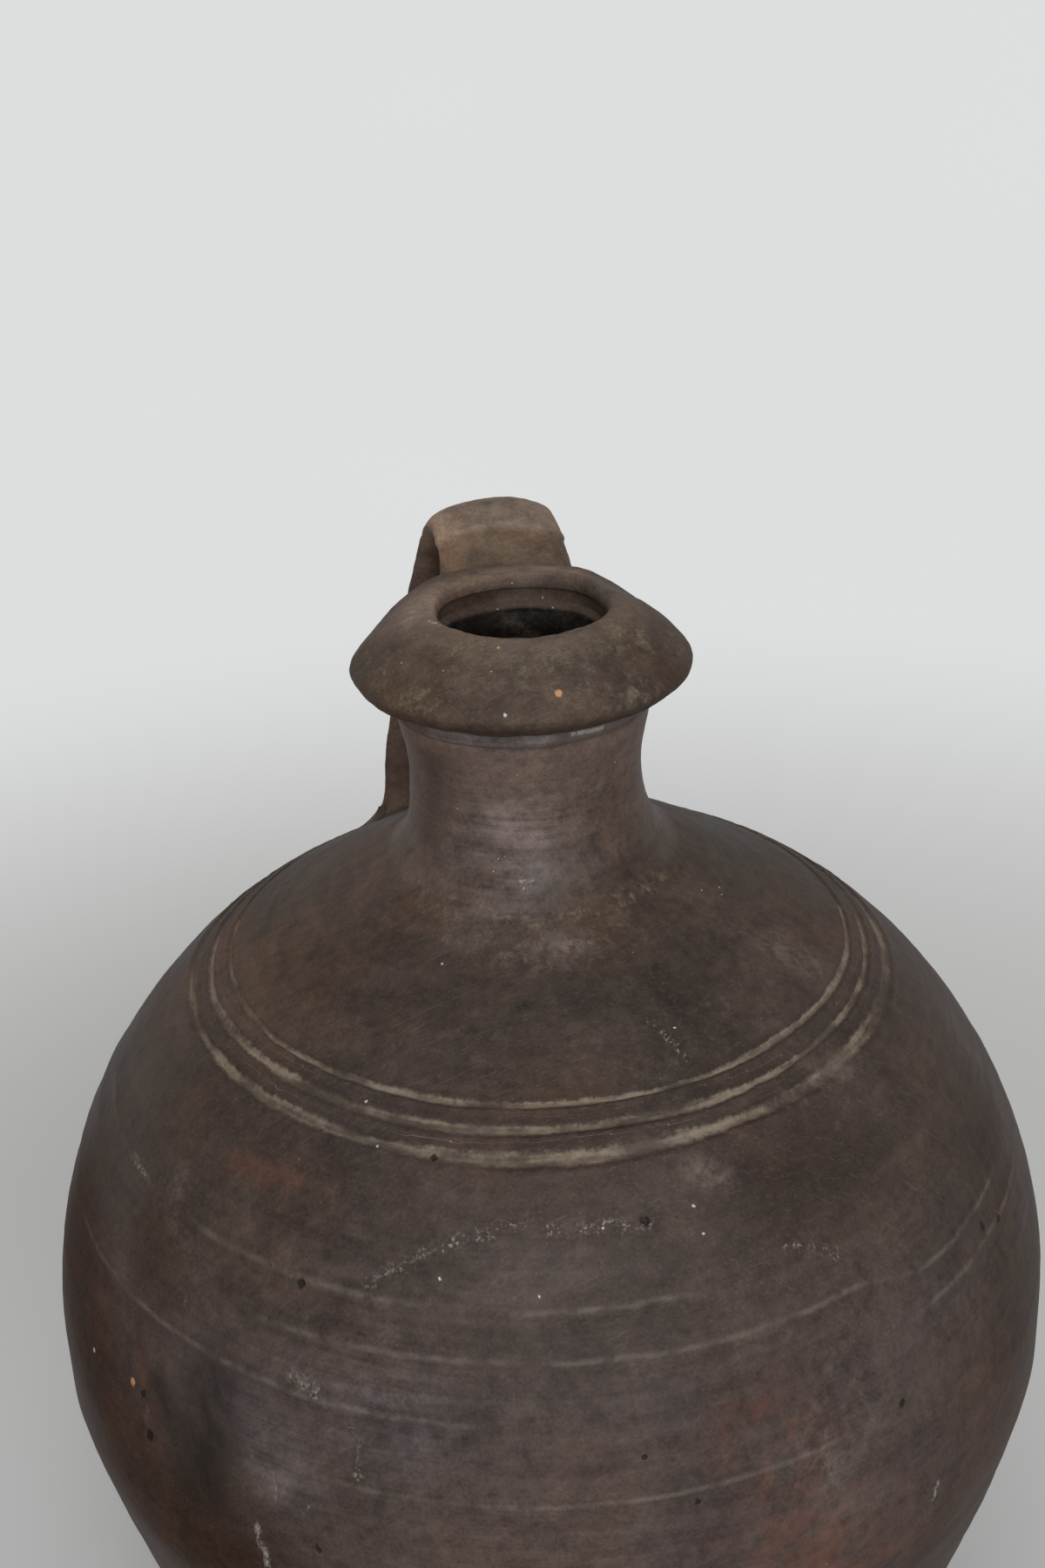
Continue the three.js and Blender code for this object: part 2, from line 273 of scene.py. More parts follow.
def profile_rows():
    """The whole profile, from the underside's centre round the lip to the floor's centre, and the
    number of each named row."""
    wall = wall_outline()
    bead, underside, top = collar_outlines()
    inner = wall - WALL * square_to(wall)
    inner = inner[inner[:, 1] > 0]
    inner = inner[np.concatenate([[True], np.diff(np.maximum.accumulate(inner[:, 1])) > 0])]
    groove_foot = np.interp(-GROOVE_RADIUS - 3, -wall[wall[:, 1] > BELLY_HEIGHT, 0],
                            wall[wall[:, 1] > BELLY_HEIGHT, 1])
    groove_head = CONE_FOOT + 4.0
    corner_top = FLOOR_THICKNESS + FLOOR_CORNER
    corner_radius = np.interp(corner_top, inner[:, 1], inner[:, 0])
    floor_round = bezier([corner_radius, corner_top],
                         [corner_radius - 0.2 * FLOOR_CORNER, FLOOR_THICKNESS + 0.4 * FLOOR_CORNER],
                         [corner_radius - 0.5 * FLOOR_CORNER, FLOOR_THICKNESS],
                         [corner_radius - 1.3 * FLOOR_CORNER, FLOOR_THICKNESS])
    # The name of the row where a stretch starts, its line, and the step between its rows
    stretches = [
        ("", [[0, 0], [BASE_RADIUS - FOOT_ROUND, 0]], 5.0),
        ("", foot_outline(), 0.6),
        ("", between(wall, leaning(FOOT_ROUND)[1], BODY_SEAM), 2.0),
        ("body", between(wall, BODY_SEAM, groove_foot), 1.25),
        ("", between(wall, groove_foot, groove_head), 0.42),
        ("", between(wall, groove_head, NECK_SEAM), 1.0),
        ("neck", between(wall, NECK_SEAM, COLLAR_SEAM), 0.75),
        ("collar", bead, 0.35),
        ("", underside, 0.5),
        ("", top, 0.5),
        ("", lip_outline(), 0.4),
        ("bore", [[BORE_RADIUS, CREST_HEIGHT - LEDGE_DEPTH - LEDGE_SLOPE / 2],
                  [BORE_RADIUS, COLLAR_SEAM]], 0.8),
        ("collar_inside", [[BORE_RADIUS, COLLAR_SEAM], [BORE_RADIUS, WAIST_HEIGHT]], 1.5),
        ("", between(inner, NECK_SEAM, WAIST_HEIGHT)[::-1], 2.5),
        ("neck_inside", between(inner, BODY_SEAM, NECK_SEAM)[::-1], 5.0),
        ("body_inside", between(inner, corner_top, BODY_SEAM)[::-1], 7.0),
        ("", floor_round, 3.0),
        ("", [floor_round[-1], [0, FLOOR_THICKNESS]], 9.0),
    ]
    rows, marks = np.empty((0, 2)), {}
    for label, line, step in stretches:
        if label:
            marks[label] = len(rows) - 1
        rows = np.vstack([rows, spaced(np.array(line, float), step)[1 if len(rows) else 0:]])
    return rows, marks


def wandering(angles, size, seed):
    """Noise round the jug, the same at every height; size is a feature's width in radians."""
    circle = np.column_stack([np.cos(angles), np.sin(angles), np.zeros(len(angles))])
    return noise(circle, size, seed)


# Thrown surface

# Rings that the potter's fingers left: height, how proud the ridge stands, depth of the hollow
# below, how far the ring sinks on the right, and the arcs in degrees from +X where it is strong
FINGER_RINGS = (
    (257.2, 0.45, 0.55, 0.0, ((-182, -157), (-146, -117), (-100, -84), (20, 150))),
    (246.4, 0.26, 0.35, 6.0, ((-131, -108), (-96, -78), (-72, -36), (60, 170))),
    (232.7, 0.4, 0.55, 0.0, ((-168, -112), (-55, -30), (80, 140))),
    (214.0, 0.14, 0.22, 0.0, ((-120, -70), (30, 110))),
)


def arc_share(angle, arcs):
    """1 inside any of some arcs in degrees, easing off near their ends."""
    share = np.zeros(len(angle))
    for low, high in arcs:
        away = np.abs((np.degrees(angle) - (low + high) / 2 + 180) % 360 - 180)
        share = np.maximum(share, 1 - smooth(away, (high - low) / 2 - 3, (high - low) / 2 + 9))
    return share


def lean_of(points):
    """How far the neck's lean and the collar's tilt move each point of a true lathe shape."""
    height = points[:, 2]
    moved = smooth(height, CONE_TOP, WAIST_HEIGHT)[:, None] * NECK_LEAN
    ahead = points[:, 0] * math.sin(CAMERA_TURN) + points[:, 1] * math.cos(CAMERA_TURN)
    moved[:, 2] -= smooth(height, WAIST_HEIGHT - 6, COLLAR_SEAM) * math.sin(COLLAR_TILT) * ahead
    return moved


def cut_grooves(radius, height, angle, points):
    """Relief of the three shoulder grooves, and each point's place across the nearest one: 0 in its
    middle, -1 on its upper edge and 1 on its lower edge."""
    relief, place = np.zeros(len(radius)), np.full(len(radius), 9.0)
    on_shoulder = (height > BELLY_HEIGHT) & (height < CONE_TOP)
    ragged = noise(points, 2.6, 71)
    for i, width in enumerate(GROOVE_WIDTHS):
        centre = (GROOVE_RADIUS - i * GROOVE_PITCH + 0.45 * wandering(angle, 0.5, 60 + i)
                  + 0.12 * wandering(angle, 0.07, 64 + i))
        half = width / 2 * (0.95 + 0.4 * wandering(angle, 0.35, 67 + i)
                            + 0.15 * wandering(angle, 0.1, 77 + i) + 0.08 * ragged)
        across = np.where(on_shoulder, (radius - centre) / half, 9.0)
        cut = np.clip(1 - across ** 2, 0, 1) ** 0.8
        worn = 0.7 + 0.45 * wandering(angle, 0.3, 74 + i) + 0.2 * ragged
        burr = 0.14 * np.exp(-((np.abs(across) - 1.3) / 0.32) ** 2) * (1 + ragged)
        relief += burr - GROOVE_DEPTH * cut * np.clip(worn, 0.3, 1.15)
        place = np.where(np.abs(across) < np.abs(place), across, place)
    return relief, place


def finger_rings(height, angle):
    """Relief of the throwing rings, with how far each point lies above the nearest ring, and that
    ring's strength."""
    relief, nearest = np.zeros(len(height)), np.zeros(len(height))
    offset = np.full(len(height), 99.0)
    for i, (level, proud, hollow, sag, arcs) in enumerate(FINGER_RINGS):
        fallen = sag * arc_share(angle, ((-55, 60),))
        at = (height - level + fallen - 0.45 * wandering(angle, 0.5, 80 + i)
              - 0.3 * wandering(angle, 0.09, 84 + i))
        strength = (0.15 + arc_share(angle, arcs)) * (0.85 + 0.4 * wandering(angle, 0.2, 88 + i))
        relief += strength * (proud * np.exp(-(at / 2.2) ** 2)
                              - hollow * np.exp(-((at + 5.6) / 3.4) ** 2)
                              - 0.5 * hollow * np.exp(-((at - 5.0) / 3.2) ** 2))
        closer = np.abs(at) < np.abs(offset)
        offset, nearest = np.where(closer, at, offset), np.where(closer, strength, nearest)
    return relief, np.clip(offset, -9, 9), nearest


def rim_saddle(points, height, outside):
    """How far the clay is banked up behind the mouth's crest, where the strap is pressed on."""
    reach = np.hypot(points[:, 0], points[:, 1])
    aside = np.abs(np.arctan2(points[:, 0] - 2, points[:, 1]))
    share = (outside * (height > COLLAR_EDGE) * (1 - smooth(aside, 0.5, 1.25))
             * smooth(reach, 24.5, 28) * (1 - smooth(reach, 34.5, 43)))
    return share * np.maximum(CREST_HEIGHT + 0.7 - height - 0.05 * (reach - 27), 0)


def back_lip(radius, height, angle, outside):
    """How far the lip stands out behind the mouth, where it keeps a sharp edge."""
    behind = smooth(np.sin(angle + 0.1), 0.1, 0.6)
    on_round = np.exp(-((radius - MOUTH_RADIUS - 1.0) / 1.1) ** 2)
    on_lip = on_round * (height > CREST_HEIGHT - LIP_RISE)
    return BACK_LIP_SHARPNESS * outside * behind * on_lip


def mouth_shift(radius, height, outward):
    """How the mouth was drawn in, opened at the back and set to one side of the collar's middle."""
    share = (1 - smooth(radius, MOUTH_RADIUS + 0.5, CREST_RADIUS + 3)) * smooth(
        height, COLLAR_EDGE, CREST_HEIGHT - LIP_RISE)
    behind = smooth(outward[:, 1], 0.1, 0.8)[:, None]
    inwards = MOUTH_NARROWING * (1 - behind) - MOUTH_OPENING * behind
    return share[:, None] * (np.array([MOUTH_SIDE, 0]) - inwards * outward)


def thrown_relief(points, radius, height, angle, outside):
    """How far the clay stands off the true profile, with the masks that go with it."""
    level = points * [0.12, 0.12, 1.0]
    on_body = outside * smooth(height, 1.5, 14) * (1 - smooth(height, NECK_SEAM - 8, NECK_SEAM + 6))
    on_neck = outside * smooth(height, NECK_SEAM - 8, NECK_SEAM + 6) * (height < COLLAR_SEAM)
    on_collar = outside * (height >= COLLAR_SEAM)
    grooves, groove = cut_grooves(radius, height, angle, points)
    rings, ring, ring_strength = finger_rings(height, angle)
    plain = smooth(np.abs(groove), 0.6, 1.1)
    relief = on_body * (0.42 * noise(points, 85, 1) + 0.2 * noise(points, 30, 2) * plain
                        + plain * (0.16 * noise(level, 5.5, 3) + 0.07 * noise(level, 2.1, 4))
                        + 0.05 * layered(points, 5, 5) * plain)
    relief += outside * (grooves + rings * on_body)
    relief += on_neck * (0.22 * noise(points, 22, 6) + 0.06 * noise(level, 2.4, 7)
                         + 0.06 * layered(points, 4, 8))
    relief += on_collar * (0.34 * noise(points, 17, 9) + 0.12 * layered(points, 5, 10)
                           + 0.05 * noise(level, 1.8, 14))
    relief += (1 - outside) * 0.25 * noise(level, 7, 15)
    relief += back_lip(radius, height, angle, outside)
    inward = on_body * np.maximum(radius + BELLY_MARGIN + relief - BELLY_RADIUS, 0)
    masks = {"groove": groove, "ring": ring, "ring_strength": ring_strength * outside,
             "level": height / TONE_SPAN, "inside": 1 - outside}
    return relief - inward, masks


def thrown_grid():
    """The jug without its handle: points and normals by row and segment, masks, seam rows."""
    rows, seams = profile_rows()
    square = square_to(rows)
    angles = np.arange(SEGMENTS) * 2 * np.pi / SEGMENTS
    radius, height = (np.repeat(rows[:, k], SEGMENTS) for k in (0, 1))
    angle = np.tile(angles, len(rows))
    outward = np.column_stack([np.cos(angle), np.sin(angle)])
    points = np.column_stack([radius[:, None] * outward, height])
    normals = np.column_stack([np.repeat(square[:, 0], SEGMENTS)[:, None] * outward,
                               np.repeat(square[:, 1], SEGMENTS)])
    outside = (np.repeat(np.arange(len(rows)), SEGMENTS) <= seams["bore"]) * 1.0
    relief, masks = thrown_relief(points, radius, height, angle, outside)
    relief *= smooth(radius, 0, 12)
    bank = rim_saddle(points, height, outside)
    points = points + relief[:, None] * normals
    points[:, 2] += bank
    points[:, :2] += mouth_shift(radius, height, outward)
    points += lean_of(points)
    return points, normals, masks, seams, len(rows)


# Strap handle

def centripetal(corners, count):
    """Points evenly spaced along a centripetal Catmull-Rom curve, and its unit tangents."""
    corners = np.array(corners, float)
    padded = np.vstack([2 * corners[0] - corners[1], corners, 2 * corners[-1] - corners[-2]])
    line = []
    for p0, p1, p2, p3 in zip(padded, padded[1:], padded[2:], padded[3:]):
        d0, d1, d2 = (math.sqrt(np.linalg.norm(b - a)) for a, b in ((p0, p1), (p1, p2), (p2, p3)))
        m1 = ((p1 - p0) / d0 - (p2 - p0) / (d0 + d1) + (p2 - p1) / d1) * d1
        m2 = ((p2 - p1) / d1 - (p3 - p1) / (d1 + d2) + (p3 - p2) / d2) * d1
        t = np.linspace(0, 1, 60, endpoint=False)[:, None]
        line.append(p1 + m1 * t + (3 * (p2 - p1) - 2 * m1 - m2) * t ** 2
                    + (2 * (p1 - p2) + m1 + m2) * t ** 3)
    even = spaced(np.vstack([*line, corners[-1:]]), count=count)
    return even, unit(np.gradient(even, axis=0))


def strap_sections(count):
    """Centres, cross directions, outward directions and half sizes along the strap."""
    crest = CREST_HEIGHT + GRIP_CREST_RISE
    drop = crest - CONE_FOOT
    root_reach = 0.5 * (CREST_RADIUS + COLLAR_RADIUS)
    span = GRIP_REACH - root_reach

    def at(side_share, reach, fall):
        side = STRAP_ROOT_SIDE - (STRAP_ROOT_SIDE + STRAP_FOOT_SIDE) * side_share
        return [side, reach, crest - fall * drop]

    centres, along = centripetal([
        at(0, root_reach - 0.11 * span, 0.2),
        at(0, root_reach + 0.15 * span, 0.14),
        at(0, root_reach + 0.58 * (GRIP_CREST_REACH - root_reach), 0.05),
        at(0.08, GRIP_CREST_REACH, 0),
        at(0.3, GRIP_REACH - 0.18 * span, 0.1),
        at(0.65, GRIP_REACH - 0.02 * span, 0.34),
        at(0.85, GRIP_REACH, 0.62),
        at(1, GRIP_REACH - 0.04 * span, 0.88),
        at(1, GRIP_REACH - 0.09 * span, 1.08),
    ], count)
    across = unit(np.array([1.0, 0, 0]) - along[:, :1] * along)
    outward = np.cross(across, along)
    t = np.linspace(0, 1, count)
    root, foot = 1 - smooth(t, 0, 0.25), smooth(t, 0.35, 1)
    half_width = (STRAP_WIDTH + (STRAP_ROOT_WIDTH - STRAP_WIDTH) * root
                  + (STRAP_FOOT_WIDTH - STRAP_WIDTH) * foot) / 2
    half_thick = (STRAP_THICKNESS + (STRAP_ROOT_THICKNESS - STRAP_THICKNESS) * root) / 2
    return centres, across, outward, half_width, half_thick


def strap_distance(points):
    """Signed distance from each point to the strap's surface, measured towards the strap's middle
    line, less than 0 inside it."""
    centres, across, outward, half_width, half_thick = strap_sections(160)
    nearest = np.concatenate([
        ((chunk[:, None] - centres[None]) ** 2).sum(2).argmin(1)
        for chunk in np.array_split(points, max(1, len(points) // 4000))])
    away = points - centres[nearest]
    side = np.abs((away * across[nearest]).sum(1)) / half_width[nearest]
    rise = np.abs((away * outward[nearest]).sum(1)) / half_thick[nearest]
    power = STRAP_EDGE_POWER
    size = np.maximum(side ** power + rise ** power, 1e-9) ** (1 / power)
    return np.linalg.norm(away, axis=1) * (1 - 1 / size)


def jug_distance(points):
    """Signed distance from each point to the thrown jug's outside, less than 0 inside it."""
    points = points - lean_of(points)
    wall, (bead, underside, top) = wall_outline(), collar_outlines()
    line = np.vstack([spaced(between(wall, BELLY_HEIGHT, COLLAR_SEAM), 2.0),
                      spaced(np.vstack([bead, underside, top]), 0.8)])
    flat = np.column_stack([np.hypot(points[:, 0], points[:, 1]), points[:, 2]])
    start, step = line[:-1], np.diff(line, axis=0)
    share = ((flat[:, None] - start) * step).sum(2) / np.maximum((step ** 2).sum(1), 1e-12)
    foot = start + np.clip(share, 0, 1)[..., None] * step
    distance = np.linalg.norm(flat[:, None] - foot, axis=2).min(1)
    wide = np.interp(flat[:, 1], line[:, 1], line[:, 0])
    return np.where((flat[:, 0] < wide) & (flat[:, 1] < CREST_HEIGHT), -distance, distance)


LUTE_WIDE, LUTE_TIGHT = 13.0, 7.0  # widths of the wiped join on the shoulder and the collar
LUTE_LIMIT = 0.34  # most that slip lifts a surface, as a share of the join's width
SMEAR = 0.35  # unevenness of the wiped slip


def luting(points, normals, other, reach):
    """How far wiped slip lifts a surface where another piece joins it, by a smooth union."""
    lift = np.zeros(len(points))
    for _ in range(4):
        gap = other(points + lift[:, None] * normals)
        share = np.clip(0.5 + 0.5 * (gap - lift) / reach, 0, 1)
        union = gap * (1 - share) + lift * share - reach * share * (1 - share)
        lift = np.clip(lift - union, 0, LUTE_LIMIT * reach)
    return lift


def lute_reach(points):
    """Width of the wiped join: broad on the shoulder, tight on the collar."""
    return LUTE_WIDE - (LUTE_WIDE - LUTE_TIGHT) * smooth(points[:, 2], NECK_SEAM, COLLAR_SEAM)


STRAP_RINGS = 380
STRAP_SIDES = 104
SINK = 4.0  # the strap's ends stop about this deep in the wall


def strap_grid():
    """Points of the strap by ring and side, and its masks."""
    centres, across, outward, half_width, half_thick = strap_sections(STRAP_RINGS)
    turn = np.arange(STRAP_SIDES) * 2 * np.pi / STRAP_SIDES

    def rounded(value):
        return np.sign(value) * np.abs(value) ** (2 / STRAP_EDGE_POWER)

    side = np.outer(half_width, rounded(np.cos(turn)))[..., None]
    rise = np.outer(half_thick, rounded(np.sin(turn)))[..., None]
    points = centres[:, None] + side * across[:, None] + rise * outward[:, None]
    down_strap = np.linspace(0, 1, STRAP_RINGS)[:, None]
    swell = (STRAP_SWELL * smooth(-np.cos(turn), 0, 0.9) * smooth(down_strap, 0.03, 0.12)
             * (1 - smooth(down_strap, 0.26, 0.5)))
    points = points - swell[..., None] * across[:, None]
    normals = -grid_normals(points)
    flat, square = points.reshape(-1, 3), normals.reshape(-1, 3)
    along = np.repeat(np.linspace(0, 1, STRAP_RINGS), STRAP_SIDES)
    width_share = np.tile(np.cos(turn), STRAP_RINGS)
    on_top = np.tile(np.sin(turn), STRAP_RINGS)
    stretched = np.column_stack([width_share * 17, on_top * 8, along * 40])
    relief = (0.22 * noise(stretched, 6, 20) + 0.1 * noise(stretched, 2.2, 21)
              + 0.28 * noise(flat, 24, 22) + 0.1 * layered(flat, 4, 23) - 0.95)
    step_at = STRAP_STEP_PLACE - 0.013 * width_share + 0.003 * noise(flat, 7, 25)
    root = (1 - smooth(along, step_at - 0.005, step_at + 0.003)) * smooth(on_top, -0.3, 0.3)
    relief += STRAP_STEP * (0.25 * np.exp(-((along - step_at - 0.006) / 0.006) ** 2)
                            - root * smooth(along, 0.1, 0.17))
    lift = luting(flat, square, jug_distance, lute_reach(flat))
    lumps = smooth(lift, 0, 1.5) * SMEAR * noise(flat, 9, 24)
    flat = flat + (relief + lift + lumps)[:, None] * square
    depth = jug_distance(flat)
    for _ in range(2):
        axis_out = unit(flat * [1, 1, 0])
        too_deep = np.maximum(-SINK - depth, 0)
        flat = flat + too_deep[:, None] * (0.5 * axis_out + [0, 0, 0.86])
        depth = jug_distance(flat)
    # Painted light in the pale mask: a highlight along the strap's left edge, and bounce light on
    # the inner face of its far limb
    painted_edge_highlight = (smooth(-width_share, 0.55, 0.85) * smooth(on_top, -0.1, 0.25)
                 * smooth(along, 0.08, 0.14) * (1 - smooth(along, 0.27, 0.36)))
    painted_bounce_light = 0.6 * smooth(-on_top, -0.1, 0.5) * smooth(along, 0.2, 0.36)
    masks = {"dirt": 0.6 * smooth(lift, 0.1, 2.2), "level": flat[:, 2] / TONE_SPAN,
             "root": root, "pale": np.maximum(0.7 * painted_edge_highlight, painted_bounce_light),
             "groove": np.full(len(flat), 9.0), "ring": np.full(len(flat), 9.0)}
    return flat, masks


def grid_normals(grid):
    """Unit normals of a grid of rows that go round, by differences between neighbours."""
    round_step = np.roll(grid, -1, axis=1) - np.roll(grid, 1, axis=1)
    row_step = np.gradient(grid, axis=0)
    return unit(np.cross(round_step, row_step))


# The photograph's view

def camera_axes():
    heading = CAMERA_TURN + CAMERA_PAN
    ahead = Vector((math.sin(heading) * math.cos(CAMERA_DIP),
                    math.cos(heading) * math.cos(CAMERA_DIP), -math.sin(CAMERA_DIP)))
    right = Vector((math.cos(heading), -math.sin(heading), 0))
    up = right.cross(ahead)
    rolled_right = right * math.cos(CAMERA_ROLL) + up * math.sin(CAMERA_ROLL)
    rolled_up = up * math.cos(CAMERA_ROLL) - right * math.sin(CAMERA_ROLL)
    place = Vector((-CAMERA_REACH * math.sin(CAMERA_TURN), -CAMERA_REACH * math.cos(CAMERA_TURN),
                    CAMERA_HEIGHT))
    return place, ahead, rolled_right, rolled_up


def make_camera():
    place, ahead, right, up = camera_axes()
    camera = bpy.data.objects.new("photo_camera", bpy.data.cameras.new("photo_camera"))
    camera.data.lens = FOCAL_LENGTH
    camera.data.sensor_width = SENSOR
    camera.data.clip_start = 0.01
    turned = Matrix((right, up, -ahead)).transposed().to_4x4()
    camera.matrix_world = Matrix.Translation(place * MM) @ turned
    bpy.context.scene.collection.objects.link(camera)
    bpy.context.scene.camera = camera


class PhotoView:
    """Finds the point of the jug that a pixel of the photograph shows, or None beside the jug."""

    def __init__(self, points, faces):
        self.tree = BVHTree.FromPolygons(points.tolist(), faces)
        self.place, self.ahead, self.right, self.up = camera_axes()

    def at(self, x, y):
        focal = FOCAL_LENGTH / SENSOR * PHOTO_HEIGHT
        ray = (self.ahead * focal + self.right * (x - PHOTO_WIDTH / 2)
               - self.up * (y - PHOTO_HEIGHT / 2))
        hit = self.tree.ray_cast(self.place, ray.normalized())[0]
        return None if hit is None else np.array(hit)


def band(points, path, radius):
    """From 1 on a path of points to 0 at a radius from it."""
    path = np.array(path, float)
    if len(path) == 1:
        path = np.vstack([path, path])
    near = np.full(len(points), 1e9)
    for start, end in zip(path, path[1:]):
        step = end - start
        share = np.clip(((points - start) @ step) / max(step @ step, 1e-9), 0, 1)
        near = np.minimum(near, np.linalg.norm(points - start - share[:, None] * step, axis=1))
    return 1 - smooth(near, 0, radius)


# Marks that the photograph shows, by the mask that they fill. Each is a path in pixels of
# 1200 x 1800, a reach in millimetres and, where it isn't 1, a strength.
# Some of these masks hold painted light and shade, as said at each.
MARKS = {
    "scuff": [
        ([(203, 1368), (212, 1402)], 11), ([(155, 1310), (172, 1345)], 5),
        ([(975, 1575), (960, 1640), (935, 1690)], 17), ([(1085, 1690), (1070, 1725)], 8),
        ([(300, 1660), (320, 1720)], 9), ([(905, 1262), (975, 1215)], 6),
        ([(800, 1345), (830, 1352)], 7), ([(670, 985), (705, 975)], 6),
        ([(890, 1085), (930, 1110)], 10), ([(560, 1082), (660, 1092)], 9),
        ([(330, 1580), (345, 1590)], 4),
    ],
    # Dark smudges on the left belly, and painted shade on the sides of the neck, collar, shoulder
    # and belly
    "smudge_and_shade": [
        ([(245, 1590), (235, 1700)], 19, 1.0), ([(180, 1590), (215, 1660)], 9, 0.9),
        ([(860, 1370), (980, 1330)], 24, 0.5), ([(1037, 1611)], 5, 0.5),
        ([(497, 880), (492, 960)], 9, 0.5), ([(700, 1020), (745, 985)], 9, 0.5),
        ([(800, 1170), (760, 1230)], 20, 0.5), ([(700, 765), (745, 800)], 9, 0.5),
    ],
    "blush": [
        ([(905, 1760), (985, 1800)], 34), ([(870, 1640), (930, 1690)], 22),
        ([(170, 1610), (160, 1560)], 6), ([(270, 1335), (335, 1358)], 7),
        ([(470, 1035), (500, 1052)], 4),
    ],
    "crumbs": [
        ([(425, 1470), (470, 1450), (520, 1425), (600, 1405)], 2.4),
        ([(630, 1412), (700, 1407), (745, 1402)], 2.2), ([(335, 1580), (362, 1600)], 2.5),
        ([(296, 1752), (306, 1795)], 1.3), ([(405, 1640), (412, 1700)], 1.8),
        ([(150, 1325), (165, 1348)], 1.5), ([(905, 1430), (960, 1442)], 2.0),
        ([(655, 844), (691, 835)], 1.3), ([(745, 1170), (790, 1215)], 1.2),
    ],
    "rubbed": [
        ([(575, 950), (590, 1025)], 22), ([(500, 846), (620, 852)], 5),
    ],
    # Paler patches, partly painted light where tops and edges catch it: the shoulders, the collar's
    # rim and crest, the neck's front and the lower belly
    "pale": [
        ([(290, 1090), (345, 1040), (400, 990)], 56, 0.95), ([(850, 1040), (960, 1070)], 40, 0.42),
        ([(620, 872), (612, 930)], 15, 0.12), ([(455, 715), (492, 682)], 15, 0.95),
        ([(510, 672), (560, 658), (605, 651), (645, 648), (670, 658)], 6, 0.6),
        ([(560, 1760), (640, 1790)], 30, 0.25), ([(930, 1790), (990, 1770)], 30, 0.45),
    ],
    "dirt": [
        ([(459, 998), (494, 1032), (552, 1050), (600, 1056), (655, 1053), (707, 1039),
          (752, 1012)], 5.2), ([(478, 1020), (520, 1046)], 5, 0.9), ([(720, 1030), (760, 1005)], 5),
        ([(505, 1066), (560, 1080), (640, 1086), (730, 1070)], 6, 0.6),
        ([(560, 1095), (620, 1105)], 6, 0.6), ([(530, 755), (660, 770)], 14),
        ([(700, 735), (785, 740)], 12), ([(690, 800), (740, 790)], 8),
        ([(420, 745), (440, 770)], 9), ([(460, 795), (500, 810)], 7),
    ],
    # Painted highlights and reflections: a bluish sheen on the neck's front, the bead, the belly
    # and its right edge
    "painted_highlight": [
        ([(585, 965), (578, 1040)], 20, 0.85), ([(530, 1000)], 12, 0.5),
        ([(500, 846), (560, 851), (625, 852)], 4.5, 1.0), ([(400, 1570), (455, 1620)], 26, 0.75),
        ([(285, 1625), (330, 1700)], 16, 0.8), ([(380, 1440), (420, 1500)], 18, 0.4),
        ([(640, 1420), (560, 1440)], 26, 0.35),
        ([(1100, 1180), (1150, 1270), (1172, 1380)], 15, 0.6),
    ],
    # Browner, darker flanks and sides: partly the clay's own tone, partly painted shade where the
    # sides turn from the light
    "brown_and_shade": [
        ([(90, 1400), (110, 1560), (170, 1700), (260, 1790)], 48, 1.0),
        ([(180, 1440), (150, 1540)], 30, 0.6),
        ([(1140, 1330), (1165, 1480), (1140, 1620), (1080, 1740)], 50, 0.45),
        ([(900, 1330), (960, 1480), (860, 1560)], 40, 0.25), ([(715, 900), (720, 1000)], 14, 0.35),
        ([(720, 730), (770, 770)], 18, 0.4),
    ],
    "chalk": [
        ([(294, 1750), (302, 1778), (308, 1798)], 2.4, 0.75),
        ([(409, 1645), (415, 1696)], 1.7, 0.5), ([(314, 1700), (320, 1728)], 1.7, 0.5),
        ([(354, 1729), (359, 1742)], 1.7, 0.5), ([(438, 1735), (449, 1762)], 1.6, 0.45),
        ([(335, 1576), (350, 1592), (364, 1596)], 2.6, 0.48),
        ([(153, 1322), (168, 1349)], 2.0, 0.45), ([(213, 1488), (212, 1500)], 1.8, 0.4),
        ([(168, 1615), (166, 1632)], 2.0, 0.6),
        ([(427, 1468), (470, 1450), (510, 1430)], 1.9, 0.42),
        ([(905, 1430), (930, 1434), (968, 1448)], 2.0, 0.4),
        ([(1078, 1700), (1072, 1722)], 3.0, 0.6), ([(657, 843), (691, 836)], 1.8, 0.55),
        ([(494, 713), (506, 718)], 1.4, 0.9), ([(592, 1013), (612, 1010)], 1.2, 0.6),
    ],
}
# Dents in the wet clay: a path in pixels, with the reach and the depth in millimetres
DENTS = [
    ([(268, 1500), (280, 1508)], 4.5, 1.0), ([(352, 1775), (362, 1782)], 5.5, 0.9),
    ([(176, 1635), (186, 1622)], 5.0, 1.0), ([(118, 1555)], 5.0, 0.8), ([(350, 1462)], 3.0, 0.9),
    ([(245, 1630)], 13.0, 0.9), ([(852, 1285), (872, 1278)], 5.0, 0.8), ([(1124, 1190)], 4.0, 0.8),
    ([(728, 684)], 3.0, 0.7),
]


def painted(points, view, marks):
    """The strongest of several marks on each point."""
    strength = np.zeros(len(points))
    for path, radius, *most in marks:
        places = [place for place in (view.at(*pixel) for pixel in path) if place is not None]
        share = band(points, places, radius) * (most or [1])[0]
        strength = np.maximum(strength, share)
    return strength


# Meshes

def lattice(rows, sides, wrap_rows=False):
    """Quads between rows of points that go round."""
    row = np.arange(rows if wrap_rows else rows - 1)[:, None]
    after = (row + 1) % rows
    side = np.arange(sides)[None]
    ahead = (side + 1) % sides
    return np.stack([row * sides + side, row * sides + ahead, after * sides + ahead,
                     after * sides + side], axis=-1).reshape(-1, 4)


